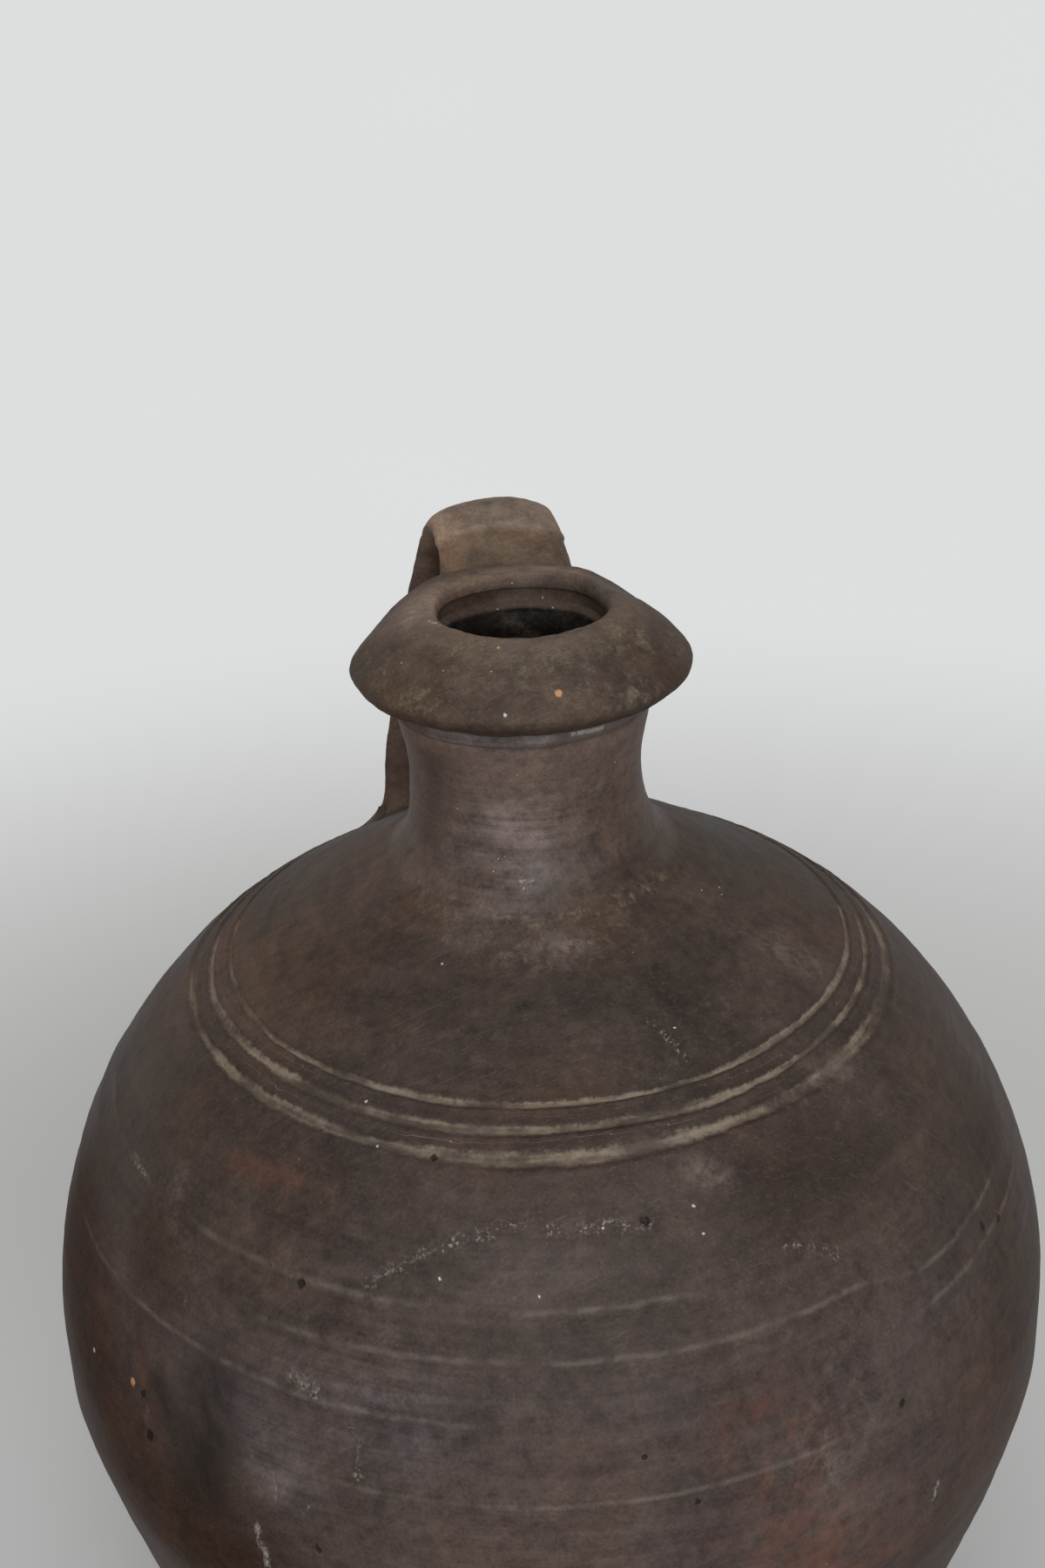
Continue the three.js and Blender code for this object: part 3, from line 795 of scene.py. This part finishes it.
def fan(pole, first, sides, backwards=False):
    """Triangles from a pole to a ring of points, numbered from its first."""
    turn = -1 if backwards else 1
    return [[pole, *(first + j, first + (j + 1) % sides)[::turn]] for j in range(sides)]


def make_mesh(name, points, faces, normals, masks):
    mesh = bpy.data.meshes.new(name)
    mesh.from_pydata((points * MM).tolist(), [], faces)
    for key, values in masks.items():
        layer = mesh.attributes.new(key, "FLOAT", "POINT")
        layer.data.foreach_set("value", np.asarray(values, np.float32))
    mesh.shade_smooth()
    if normals is not None:
        mesh.normals_split_custom_set_from_vertices(normals.tolist())
    piece = bpy.data.objects.new(name, mesh)
    bpy.context.scene.collection.objects.link(piece)
    return piece


def turned_piece(name, grid, normals, masks, row_list, pole_ended):
    """A closed piece from some of the jug's rows: a ring, or a cup whose ends meet the axis."""
    count = len(row_list)
    points = grid[row_list].reshape(-1, 3)
    square = normals[row_list].reshape(-1, 3)
    picked = {key: values.reshape(grid.shape[:2])[row_list].ravel()
              for key, values in masks.items()}
    if not pole_ended:
        return make_mesh(name, points, lattice(count, SEGMENTS, True).tolist(), square, picked)
    pole = (count - 2) * SEGMENTS
    faces = (lattice(count - 2, SEGMENTS).tolist() + fan(pole, 0, SEGMENTS, backwards=True)
             + fan(pole + 1, pole - SEGMENTS, SEGMENTS))

    def with_poles(values):
        return np.concatenate([values[SEGMENTS:-SEGMENTS], values[:1], values[-1:]])

    return make_mesh(name, with_poles(points), faces, with_poles(square),
                     {key: with_poles(values) for key, values in picked.items()})


def strap_piece(name, points, masks):
    grid = points.reshape(STRAP_RINGS, STRAP_SIDES, 3)
    pole = len(points)
    faces = (lattice(STRAP_RINGS, STRAP_SIDES)[:, ::-1].tolist() + fan(pole, 0, STRAP_SIDES)
             + fan(pole + 1, pole - STRAP_SIDES, STRAP_SIDES, backwards=True))
    centres = [grid[0].mean(0), grid[-1].mean(0)]
    ended = {key: np.concatenate([values, values[[0, -1]]]) for key, values in masks.items()}
    return make_mesh(name, np.vstack([points, centres]), faces, None, ended)


# Clay

def linear(code):
    """Scene-linear colour of an sRGB hex code."""
    parts = [int(code[k:k + 2], 16) / 255 for k in (1, 3, 5)]
    return (*(c / 12.92 if c <= 0.04045 else ((c + 0.055) / 1.055) ** 2.4 for c in parts), 1.0)


class Shader:
    """One material's nodes, made and linked by short calls. Places are the jug's, in metres."""

    def __init__(self, name):
        self.material = bpy.data.materials.new(name)
        self.material.use_nodes = True
        self.tree = self.material.node_tree
        self.tree.nodes.clear()
        self.place = self.node("ShaderNodeTexCoord").outputs["Object"]
        self.colour = None

    def node(self, kind, inputs=(), **settings):
        made = self.tree.nodes.new(kind)
        for key, value in settings.items():
            setattr(made, key, value)
        for key, value in dict(inputs).items():
            if isinstance(value, bpy.types.NodeSocket):
                self.tree.links.new(value, made.inputs[key])
            else:
                made.inputs[key].default_value = value
        return made

    def math(self, operation, a, b=0.0, clamp=False):
        return self.node("ShaderNodeMath", {0: a, 1: b}, operation=operation,
                         use_clamp=clamp).outputs[0]

    def times(self, *factors):
        return functools.reduce(lambda a, b: self.math("MULTIPLY", a, b), factors)

    def plus(self, *terms):
        return functools.reduce(lambda a, b: self.math("ADD", a, b), terms)

    def most(self, *values):
        return functools.reduce(lambda a, b: self.math("MAXIMUM", a, b), values)

    def fade(self, value, low, high, bottom=0.0, top=1.0):
        """The value carried from low..high to bottom..top, level at both ends."""
        return self.node("ShaderNodeMapRange", {0: value, 1: low, 2: high, 3: bottom, 4: top},
                         interpolation_type="SMOOTHSTEP").outputs[0]

    def stretched(self, scale, turn=(0, 0, 0)):
        return self.node("ShaderNodeMapping", {
            "Vector": self.place, "Rotation": turn, "Scale": scale},
            vector_type="TEXTURE").outputs[0]

    def cloud(self, size, detail=3.0, rough=0.5, where=None, swirl=0.0):
        """Noise from 0 to 1 with features of a size in millimetres."""
        return self.node("ShaderNodeTexNoise", {
            "Vector": where or self.place, "Scale": 1000 / size, "Detail": detail,
            "Roughness": rough, "Distortion": swirl}).outputs["Fac"]

    def ramp(self, value, stops):
        """A colour that eases from stop to stop, each a place from 0 to 1 and an sRGB code."""
        ramp = self.node("ShaderNodeValToRGB", {0: value})
        ramp.color_ramp.interpolation = "EASE"
        elements = ramp.color_ramp.elements
        elements.remove(elements[1])
        for i, (place, code) in enumerate(stops):
            stop = elements.new(place) if i else elements[0]
            stop.position, stop.color = place, linear(code)
        return ramp.outputs[0]

    def mask(self, name):
        return self.node("ShaderNodeAttribute", attribute_name=name).outputs["Fac"]

    def tint(self, tint, *shares):
        """Multiplies the colour by three linear shares, by the product of some shares."""
        self.colour = self.blend(self.times(*shares), self.colour, (*tint, 1.0), "MULTIPLY")

    def nudged(self, reach, size):
        """Places moved about by up to a reach, over a size, both in millimetres."""
        drift = self.node("ShaderNodeTexNoise", {"Vector": self.place, "Scale": 1000 / size,
                                                 "Detail": 2.0}).outputs["Color"]
        away = self.node("ShaderNodeVectorMath", {0: drift, 1: (0.5, 0.5, 0.5)},
                         operation="SUBTRACT").outputs[0]
        return self.node("ShaderNodeVectorMath", {0: away, 1: (reach * MM * 2,) * 3, 2: self.place},
                         operation="MULTIPLY_ADD").outputs[0]

    def blend(self, share, under, over, mode="MIX"):
        return self.node("ShaderNodeMix", {0: share, 6: under, 7: over}, data_type="RGBA",
                         blend_type=mode).outputs[2]

    def scale(self, factor):
        self.colour = self.node("ShaderNodeVectorMath", {0: self.colour, "Scale": factor},
                                operation="SCALE").outputs[0]

    def coat(self, tone, *shares):
        """Covers the colour with a tone, by the product of some shares."""
        self.colour = self.blend(self.times(*shares), self.colour, tone)

    def swing(self, value, share):
        """A share of how far the value lies from a half."""
        return self.times(self.math("SUBTRACT", value, 0.5), share)

    def spots(self, points, where):
        """A mask of grains, each a place in millimetres and a radius."""
        total = 0.0
        for place, radius in points:
            away = self.node("ShaderNodeVectorMath", {0: where, 1: tuple(place * MM)},
                             operation="DISTANCE").outputs["Value"]
            total = self.most(self.fade(away, radius * MM, 0.5 * radius * MM), total)
        return total

    def grains(self, size, radius, where):
        """Scattered grains of a radius, about a size apart, both in millimetres."""
        away = self.node("ShaderNodeTexVoronoi", {"Vector": where, "Scale": 1000 / size})
        return self.fade(away.outputs["Distance"], radius / size, 0.5 * radius / size)

    def fibres(self, width, length, turn, low=0.66, high=0.8):
        """Short thin scratches that lie along one direction."""
        drawn = self.stretched((1, 1, length / width), turn)
        return self.fade(self.cloud(width * 2, 0.0, 0.5, drawn), low, high)


# Smoked clay: tones by height in millimetres, of the thrown pieces and of the strap, with painted
# light and shade among them
# On the thrown pieces the bead's lighter band is a painted highlight, and the collar runs from a
# darker underside to a lighter crest, partly painted shade and light
THROWN_TONES = ((0, "#54443c"), (80, "#50423b"), (150, "#4b3f3a"), (228, "#4a3f3b"),
                (262, "#433832"), (285, "#3d322c"), (308, "#3d322b"), (319, "#43372f"),
                (324, "#54473f"), (345, "#62534b"), (363, "#63544c"), (364.5, "#5b504a"),
                (368, "#5b514c"), (369.6, "#42362e"), (378, "#46392f"), (386, "#4c3f36"),
                (389.5, "#5f5147"), (400, "#66584e"))
# The strap turns lighter towards its top, partly painted light on its up-facing top
STRAP_TONES = ((290, "#4a3c35"), (350, "#51433b"), (378, "#5f5047"), (390, "#766557"),
               (400, "#7e6d60"))
# Painted shade: the inside is darkened, and the mouth turns near black below its ledge
INSIDE_SHADE_TONE, DEEP_SHADE_TONE = linear("#2f2620"), linear("#120d0a")
# How much beige dirt clings to each piece, and how rough it is
CLAYS = {"lower_body": (0.14, 0.62), "shoulder": (0.2, 0.62), "neck": (0.12, 0.56),
         "collar": (0.42, 0.64), "handle": (0.16, 0.6)}
# Warm and bloom tints vary at random; the pale tint lifts paler patches and painted light, the
# sheen tint paints a highlight, the brown tint darkens flanks partly as painted shade, the root
# tint paints shade on the strap's front
WARM_TINT, BLOOM_TINT, PALE_AND_PAINTED_LIGHT_TINT = (1.1, 0.98, 0.87), (1.05, 1.07, 1.15), (2.0, 1.9, 1.8)
PAINTED_HIGHLIGHT_TINT, BROWN_AND_SHADE_TINT, ROOT_SHADE_TINT = (1.5, 1.72, 2.05), (0.66, 0.53, 0.43), (0.72, 0.66, 0.6)
DIRT_TONE, DIRT_PALE_TONE = linear("#6b604e"), linear("#84786a")
SEDIMENT_TONE, SEDIMENT_PALE_TONE = linear("#6a5d4e"), linear("#938676")
# The scuff tone also paints a highlight along the throwing rings' ridges.
# The smudge tone also paints shade on the flanks.
SCUFF_AND_HIGHLIGHT_TONE, SMUDGE_AND_SHADE_TONE, BLUSH_TONE = map(linear, ("#857970", "#1e1713", "#774836"))
GRIT_TONE, LIME_TONE, RUST_TONE = map(linear, ("#a59a8b", "#c6beb2", "#c4926c"))
# The pit tone is painted shade in the pits' hollows.
PIT_SHADE_TONE, CHALK_TONE = linear("#1a1311"), linear("#b5b2ab")
GROOVE_SHADE = (0.72, 0.7, 0.68)
# Specular level of the clay, and of the parts wholly under the brown mask, whose darker flanks are
# partly painted shade
SHINE, BROWN_SHINE = 0.2, 0.03

# Grains set in the clay: pixels of the photograph, and radii in millimetres
LIME_GRAINS = [
    (580, 821, 0.59), (473, 709, 0.37), (501, 715, 0.5), (505, 717, 0.37), (509, 770, 0.31),
    (461, 761, 0.28), (564, 771, 0.28), (572, 700, 0.31), (588, 670, 0.28), (623, 686, 0.31),
    (635, 698, 0.31), (594, 890, 0.31), (525, 928, 0.31), (593, 951, 0.25), (572, 986, 0.25),
    (580, 984, 0.25), (566, 1000, 0.25), (601, 1020, 0.31), (651, 1006, 0.25), (508, 1106, 0.43),
    (806, 1022, 0.37), (826, 1019, 0.37), (829, 1027, 0.31), (775, 1180, 0.5), (420, 1264, 0.56),
    (433, 1315, 0.56), (797, 1384, 0.56), (692, 1410, 0.5), (619, 1489, 0.5), (807, 1417, 0.56),
    (505, 1468, 0.5), (108, 1550, 0.87),
]
RUST_GRAINS = [
    (641.6, 796, 1.25), (598.5, 845, 0.65), (572, 743, 0.6), (706, 875, 0.5), (152, 1586, 1.5),
]
PITS = [
    (739, 1401, 1.35), (1128, 1408, 1.42), (1146, 1398, 1.12), (1037, 1611, 1.42),
    (740, 1674, 0.68), (801, 1723, 0.98), (345, 1473, 1.27), (172, 1648, 1.65), (165, 1600, 1.35),
    (362, 1780, 1.65), (498, 1330, 0.98), (712, 823, 0.68),
]


def placed(view, grains):
    return [(view.at(x, y), radius) for x, y, radius in grains]


def near_piece(grains, low, high):
    """The grains on a piece, by height in millimetres, so that each material draws only its own."""
    return [(place, radius) for place, radius in grains if low - 3 < place[2] < high + 3]


def clay(name, lime, rust, pits):
    """The smoked clay of one piece."""
    dirt_share, dullness = CLAYS[name]
    sh = Shader(f"{name}_clay")
    patches = sh.cloud(80, 3, 0.5)
    mottling = sh.cloud(22, 5, 0.6, swirl=0.5)
    flecks = sh.cloud(2.6, 6, 0.75, swirl=0.4)
    fine = sh.cloud(4.5, 5, 0.65)
    grain = sh.cloud(0.9, 3, 0.6)
    turned = sh.cloud(8, 3, 0.5, sh.stretched((9, 9, 1)))
    brushed = sh.cloud(1.6, 2, 0.5, sh.stretched((16, 16, 1)))
    wiped = sh.cloud(2.4, 3, 0.55, sh.stretched((1, 1, 12), (0.25, 0.9, 0)))
    wiped_down = sh.cloud(3.2, 3, 0.55, sh.stretched((1, 1, 14), (-0.2, -0.35, 0)))
    stained = sh.cloud(11, 4, 0.6, swirl=0.8)
    fibres = sh.most(sh.fibres(0.28, 9, (0.2, 1.25, 0.3)), sh.fibres(0.3, 7, (-0.3, -0.8, 0.5)))
    nudged = sh.nudged(0.5, 1.6)

    # The clay's tone by height, with painted light and shade laid into it: a dark inside and mouth,
    # lit patches, shaded flanks and strap front, and highlights
    stops = STRAP_TONES if name == "handle" else THROWN_TONES
    sh.colour = sh.ramp(sh.mask("level"), [(height / TONE_SPAN, code) for height, code in stops])
    # Painted shade: a darker inside, near black below the mouth's ledge
    sh.coat(INSIDE_SHADE_TONE, sh.mask("inside"))
    ledge = (CREST_HEIGHT - LEDGE_DEPTH) / TONE_SPAN
    shade_below_ledge = sh.fade(sh.mask("level"), ledge + 0.001, ledge - 0.006)
    sh.coat(DEEP_SHADE_TONE, sh.mask("inside"), shade_below_ledge)
    warm = sh.fade(sh.cloud(48, 4, 0.55), 0.46, 0.66)
    sh.tint(WARM_TINT, warm, 0.8)
    bloom = sh.fade(sh.cloud(55, 3, 0.5, sh.stretched((1.8, 1.8, 1))), 0.46, 0.66)
    sh.tint(BLOOM_TINT, bloom, 0.8)
    # Paler patches, partly painted light on lit tops and edges of the jug and the strap
    sh.tint(PALE_AND_PAINTED_LIGHT_TINT, sh.mask("pale"), sh.fade(mottling, 0.3, 0.7, 0.75, 1.1))
    # Browner, darker flanks, partly painted shade where the sides turn from the light
    sh.tint(BROWN_AND_SHADE_TINT, sh.mask("brown_and_shade"))
    # Painted shade on the strap's steep front face below its step
    if name == "handle":
        sh.tint(ROOT_SHADE_TINT, sh.mask("root"))
    # Painted highlight: a bluish sheen, broken up by noise
    broken_painted_highlight = sh.fade(sh.plus(brushed, mottling), 0.75, 1.2, 0.25, 1.0)
    sh.tint(PAINTED_HIGHLIGHT_TINT, sh.mask("painted_highlight"), broken_painted_highlight)
    # How much each layer of noise darkens and lightens the clay
    shades = [sh.fade(layer, 0.3, 0.7, dark, light) for layer, dark, light in (
        (turned, -0.1, 0.1), (brushed, -0.08, 0.09), (wiped, -0.09, 0.09),
        (wiped_down, -0.08, 0.09), (fine, -0.17, 0.19), (grain, -0.14, 0.16),
        (stained, -0.05, 0.05))]
    sh.scale(sh.plus(sh.fade(patches, 0.32, 0.66, 0.84, 1.1),
                     sh.fade(mottling, 0.32, 0.68, -0.15, 0.17), *shades))
    sh.coat(SCUFF_AND_HIGHLIGHT_TONE, fibres, sh.fade(patches, 0.4, 0.6, 0.03, 0.14))

    # Marks, and painted shade on the flanks under the smudge mask
    darkened = sh.fade(sh.plus(mottling, wiped_down), 0.7, 1.15, 0.5, 1.0)
    sh.coat(SMUDGE_AND_SHADE_TONE, sh.mask("smudge_and_shade"), darkened, 0.9)
    reddened = sh.fade(sh.plus(sh.cloud(13, 5, 0.6), flecks), 0.85, 1.25)
    sh.coat(BLUSH_TONE, sh.mask("blush"), reddened, 0.42)
    scuffed = sh.times(sh.mask("scuff"), sh.fade(sh.plus(flecks, mottling), 0.88, 1.3))
    stray = sh.times(sh.fade(sh.cloud(26, 3, 0.5), 0.54, 0.7), sh.fade(flecks, 0.5, 0.72), 0.32)
    scuffed = sh.most(scuffed, stray)
    sh.coat(SCUFF_AND_HIGHLIGHT_TONE, scuffed, 0.55)

    # Dirt, and sediment in the grooves
    clinging = sh.plus(sh.times(sh.mask("dirt"), 0.8),
                       sh.times(dirt_share, sh.fade(mottling, 0.42, 0.66)))
    dirty = sh.times(clinging, sh.fade(sh.plus(flecks, sh.cloud(6, 4, 0.6, swirl=0.6)), 0.92, 1.22))
    beige = sh.blend(sh.fade(grain, 0.4, 0.65), DIRT_TONE, DIRT_PALE_TONE)
    sh.coat(beige, dirty, 0.75)
    groove = sh.math("ABSOLUTE", sh.plus(sh.mask("groove"), sh.swing(flecks, 1.7),
                                         sh.swing(fine, 0.8), 0.12))
    washed = sh.fade(sh.plus(sh.cloud(24, 4, 0.6), sh.swing(brushed, 0.3)), 0.4, 0.58, 0.22, 1.0)
    sediment = sh.times(sh.fade(groove, 1.0, 0.35), washed)
    pale = sh.blend(sh.fade(sh.plus(brushed, flecks), 0.8, 1.2), SEDIMENT_TONE,
                    SEDIMENT_PALE_TONE)
    sh.tint(GROOVE_SHADE, sh.fade(groove, 1.7, 0.9, 0.0, 0.5))
    sh.coat(pale, sediment, 0.8)

    # Throwing rings, pale along their ridges: partly rubbed wear, partly a painted highlight
    ring = sh.math("ABSOLUTE", sh.plus(sh.mask("ring"), sh.swing(flecks, 1.6)))
    broken = sh.fade(sh.plus(fine, sh.cloud(9, 2, 0.5)), 0.75, 1.25, 0.25, 1.0)
    ring_line = sh.times(sh.fade(ring, 1.25, 0.1),
                         sh.fade(sh.mask("ring_strength"), 0.3, 1.0), broken)
    sh.coat(SCUFF_AND_HIGHLIGHT_TONE, ring_line, 0.36)

    # Chalk, grit and grains, and pits painted dark as shade in their hollows
    crumbs = sh.times(sh.mask("crumbs"), sh.fade(sh.cloud(0.9, 2, 0.6), 0.53, 0.63),
                      sh.fade(sh.cloud(4, 3, 0.6), 0.43, 0.54))
    streaked = sh.plus(sh.cloud(1.1, 3, 0.6, sh.stretched((1, 1, 3))), flecks)
    chalk = sh.times(sh.fade(sh.mask("chalk"), 0.25, 0.75), sh.fade(streaked, 0.88, 1.1))
    sh.coat(CHALK_TONE, chalk, 0.9)
    stray_grit = sh.times(sh.grains(6.5, 0.24, nudged),
                          sh.fade(sh.cloud(30, 2, 0.5), 0.5, 0.62), 0.8)
    sh.coat(GRIT_TONE, sh.most(crumbs, stray_grit), 0.8)
    stray_pits = sh.times(sh.grains(8.5, 0.34, nudged), sh.fade(sh.cloud(24, 2, 0.5), 0.5, 0.6))
    sh.coat(PIT_SHADE_TONE, stray_pits, 0.7)
    set_lime, set_rust = sh.spots(lime, nudged), sh.spots(rust, nudged)
    set_pits = sh.spots(pits, sh.nudged(1.1, 2.6))
    for tone, *shares in ((PIT_SHADE_TONE, set_pits, 0.85), (LIME_TONE, set_lime), (RUST_TONE, set_rust)):
        sh.coat(tone, *shares)

    dusty = sh.most(sediment, dirty, scuffed)
    rubbed = sh.times(sh.mask("rubbed"), sh.fade(brushed, 0.3, 0.7, 0.7, 1.0))
    rough = sh.plus(dullness, sh.swing(mottling, 0.3), sh.swing(fine, 0.2), sh.times(dusty, 0.25),
                    sh.times(rubbed, -0.2))
    # Fine relief, in millimetres
    relief = sh.plus(*(sh.times(layer, depth * MM) for layer, depth in (
        (fine, 0.28), (grain, 0.1), (brushed, 0.16), (turned, 0.3), (wiped, 0.16), (dirty, 0.16),
        (stained, 0.2), (chalk, 0.1), (sediment, 0.2), (ring_line, 0.22), (stray_pits, -0.4),
        (set_pits, -0.7), (fibres, -0.04), (set_lime, 0.2), (set_rust, 0.2), (crumbs, 0.12))))
    bump = sh.node("ShaderNodeBump", {"Height": relief, "Strength": 1.0, "Distance": 1.0})
    surface = sh.node("ShaderNodeBsdfPrincipled", {
        "Base Color": sh.colour, "Roughness": sh.math("ADD", rough, 0.0, clamp=True),
        "Normal": bump.outputs[0],
        "Specular IOR Level": sh.fade(sh.mask("brown_and_shade"), 0.0, 1.0, SHINE, BROWN_SHINE)})
    sh.node("ShaderNodeOutputMaterial", {"Surface": surface.outputs[0]})
    return sh.material


# Studio, in metres

STUDIO_RADIUS = 3.2
STUDIO_FLAT = 1.9
STUDIO_HEIGHT = 2.4
STUDIO_SIDES = 96
LAMP_AIM = 0.22  # height that the lamps look at


def studio_material():
    """Pale paper. Far from the jug it is seen at its own tone, whatever light falls on it."""
    sh = Shader("studio_paper")
    tone = sh.blend(sh.cloud(900, 2, 0.5), linear("#dbdcdc"), linear("#dfe0e1"))
    rays = sh.node("ShaderNodeLightPath").outputs
    seen = sh.most(rays["Is Camera Ray"], rays["Is Glossy Ray"], rays["Is Transmission Ray"])
    away = sh.node("ShaderNodeVectorMath", {0: sh.place}, operation="LENGTH").outputs["Value"]
    paper = sh.node("ShaderNodeBsdfPrincipled", {
        "Base Color": sh.blend(seen, linear("#978d82"), tone), "Roughness": 0.95,
        "Specular IOR Level": 0.1})
    lit = sh.node("ShaderNodeEmission", {"Color": tone, "Strength": 1.0})
    share = sh.math("MULTIPLY", seen, sh.fade(away, 0.32, 1.0))
    surface = sh.node("ShaderNodeMixShader", {0: share, 1: paper.outputs[0], 2: lit.outputs[0]})
    sh.node("ShaderNodeOutputMaterial", {"Surface": surface.outputs[0]})
    return sh.material


def make_studio():
    """A round pale floor that curves up into a wall on every side."""
    bend = STUDIO_RADIUS - STUDIO_FLAT
    outline = [(r, 0.0) for r in np.linspace(0.0, STUDIO_FLAT, 12)]
    outline += [(STUDIO_FLAT + bend * math.sin(a), bend * (1 - math.cos(a)))
                for a in np.linspace(0, math.pi / 2, 24)[1:]]
    outline += [(STUDIO_RADIUS, z) for z in np.linspace(bend, STUDIO_HEIGHT, 5)[1:]]
    turn = np.arange(STUDIO_SIDES) * 2 * np.pi / STUDIO_SIDES
    points = np.array([[r * math.cos(a), r * math.sin(a), z] for r, z in outline[1:] for a in turn])
    faces = lattice(len(outline) - 1, STUDIO_SIDES)[:, ::-1].tolist()
    faces += fan(len(points), 0, STUDIO_SIDES)
    bowl = make_mesh("studio_floor", np.vstack([points, [[0, 0, 0]]]) / MM, faces, None, {})
    bowl.data.materials.append(studio_material())


def make_lamp(name, azimuth, elevation, distance, size, watts, colour):
    """A square soft lamp that looks at the jug's belly; azimuth 0 is straight in front."""
    a, e = math.radians(azimuth), math.radians(elevation)
    aim = Vector((0, 0, LAMP_AIM))
    place = aim + distance * Vector((math.sin(a) * math.cos(e), -math.cos(a) * math.cos(e),
                                     math.sin(e)))
    lamp = bpy.data.lights.new(name, "AREA")
    lamp.shape, lamp.size, lamp.energy, lamp.color = "SQUARE", size, watts, colour
    holder = bpy.data.objects.new(name, lamp)
    holder.location = place
    holder.rotation_euler = (aim - place).to_track_quat("-Z", "Y").to_euler()
    holder.visible_camera = False
    bpy.context.scene.collection.objects.link(holder)


def light_scene():
    make_lamp("window", 2, 19, 2.2, 1.2, 27.0, (0.93, 0.965, 1.0))
    make_lamp("ceiling", -8, 66, 2.0, 1.1, 9.0, (0.92, 0.96, 1.0))
    world = bpy.data.worlds.new("room")
    world.use_nodes = True
    back = world.node_tree.nodes["Background"]
    back.inputs["Color"].default_value = (1.0, 0.965, 0.92, 1.0)
    back.inputs["Strength"].default_value = 0.5
    bpy.context.scene.world = world
    bpy.context.scene.view_settings.view_transform = "Standard"


# The jug

def main():
    points, square, masks, seams, row_count = thrown_grid()
    near_strap = (points[:, 1] > 15) & (points[:, 2] > CONE_FOOT - 40) & (masks["inside"] == 0)
    lift = np.zeros(len(points))
    lift[near_strap] = luting(points[near_strap], square[near_strap], strap_distance,
                              lute_reach(points[near_strap]))
    smear = smooth(lift, 0, 1.5) * SMEAR * noise(points, 9, 24)
    points = points + (lift + smear)[:, None] * square

    view = PhotoView(points, lattice(row_count, SEGMENTS).tolist())
    for name, marks in MARKS.items():
        masks[name] = painted(points, view, marks)
    dent = painted(points, view, DENTS)
    points = points - (dent * (1 - masks["inside"]))[:, None] * square
    grid = points.reshape(row_count, SEGMENTS, 3)
    normals = grid_normals(grid)
    normals[0], normals[-1] = (0, 0, -1), (0, 0, 1)
    masks["dirt"] = np.maximum(masks["dirt"], 0.5 * smooth(lift, 0.1, 2.0))

    body, neck, collar, body_in, neck_in, collar_in = (seams[key] for key in (
        "body", "neck", "collar", "body_inside", "neck_inside", "collar_inside"))
    rows_of = {
        "lower_body": [*range(body + 1), *range(body_in, row_count)],
        "shoulder": [*range(body, neck + 1), *range(neck_in, body_in + 1)],
        "neck": [*range(neck, collar + 1), *range(collar_in, neck_in + 1)],
        "collar": list(range(collar, collar_in + 1)),
    }
    lime, rust, pits = (placed(view, grains) for grains in (LIME_GRAINS, RUST_GRAINS, PITS))
    made = {}
    for node, rows in rows_of.items():
        made[node] = turned_piece(f"thrown_{node}", grid, normals, masks, rows,
                                  pole_ended=node == "lower_body")
    strap, strap_masks = strap_grid()
    made["handle"] = strap_piece("pulled_strap", strap, strap_masks)
    for node, piece in made.items():
        low, high = (corner[2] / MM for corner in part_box(node))
        own = [near_piece(grains, low, high) for grains in (lime, rust, pits)]
        piece.data.materials.append(clay(node, *own))
        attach(piece, "root")
        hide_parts(node)


main()
make_studio()
light_scene()
make_camera()
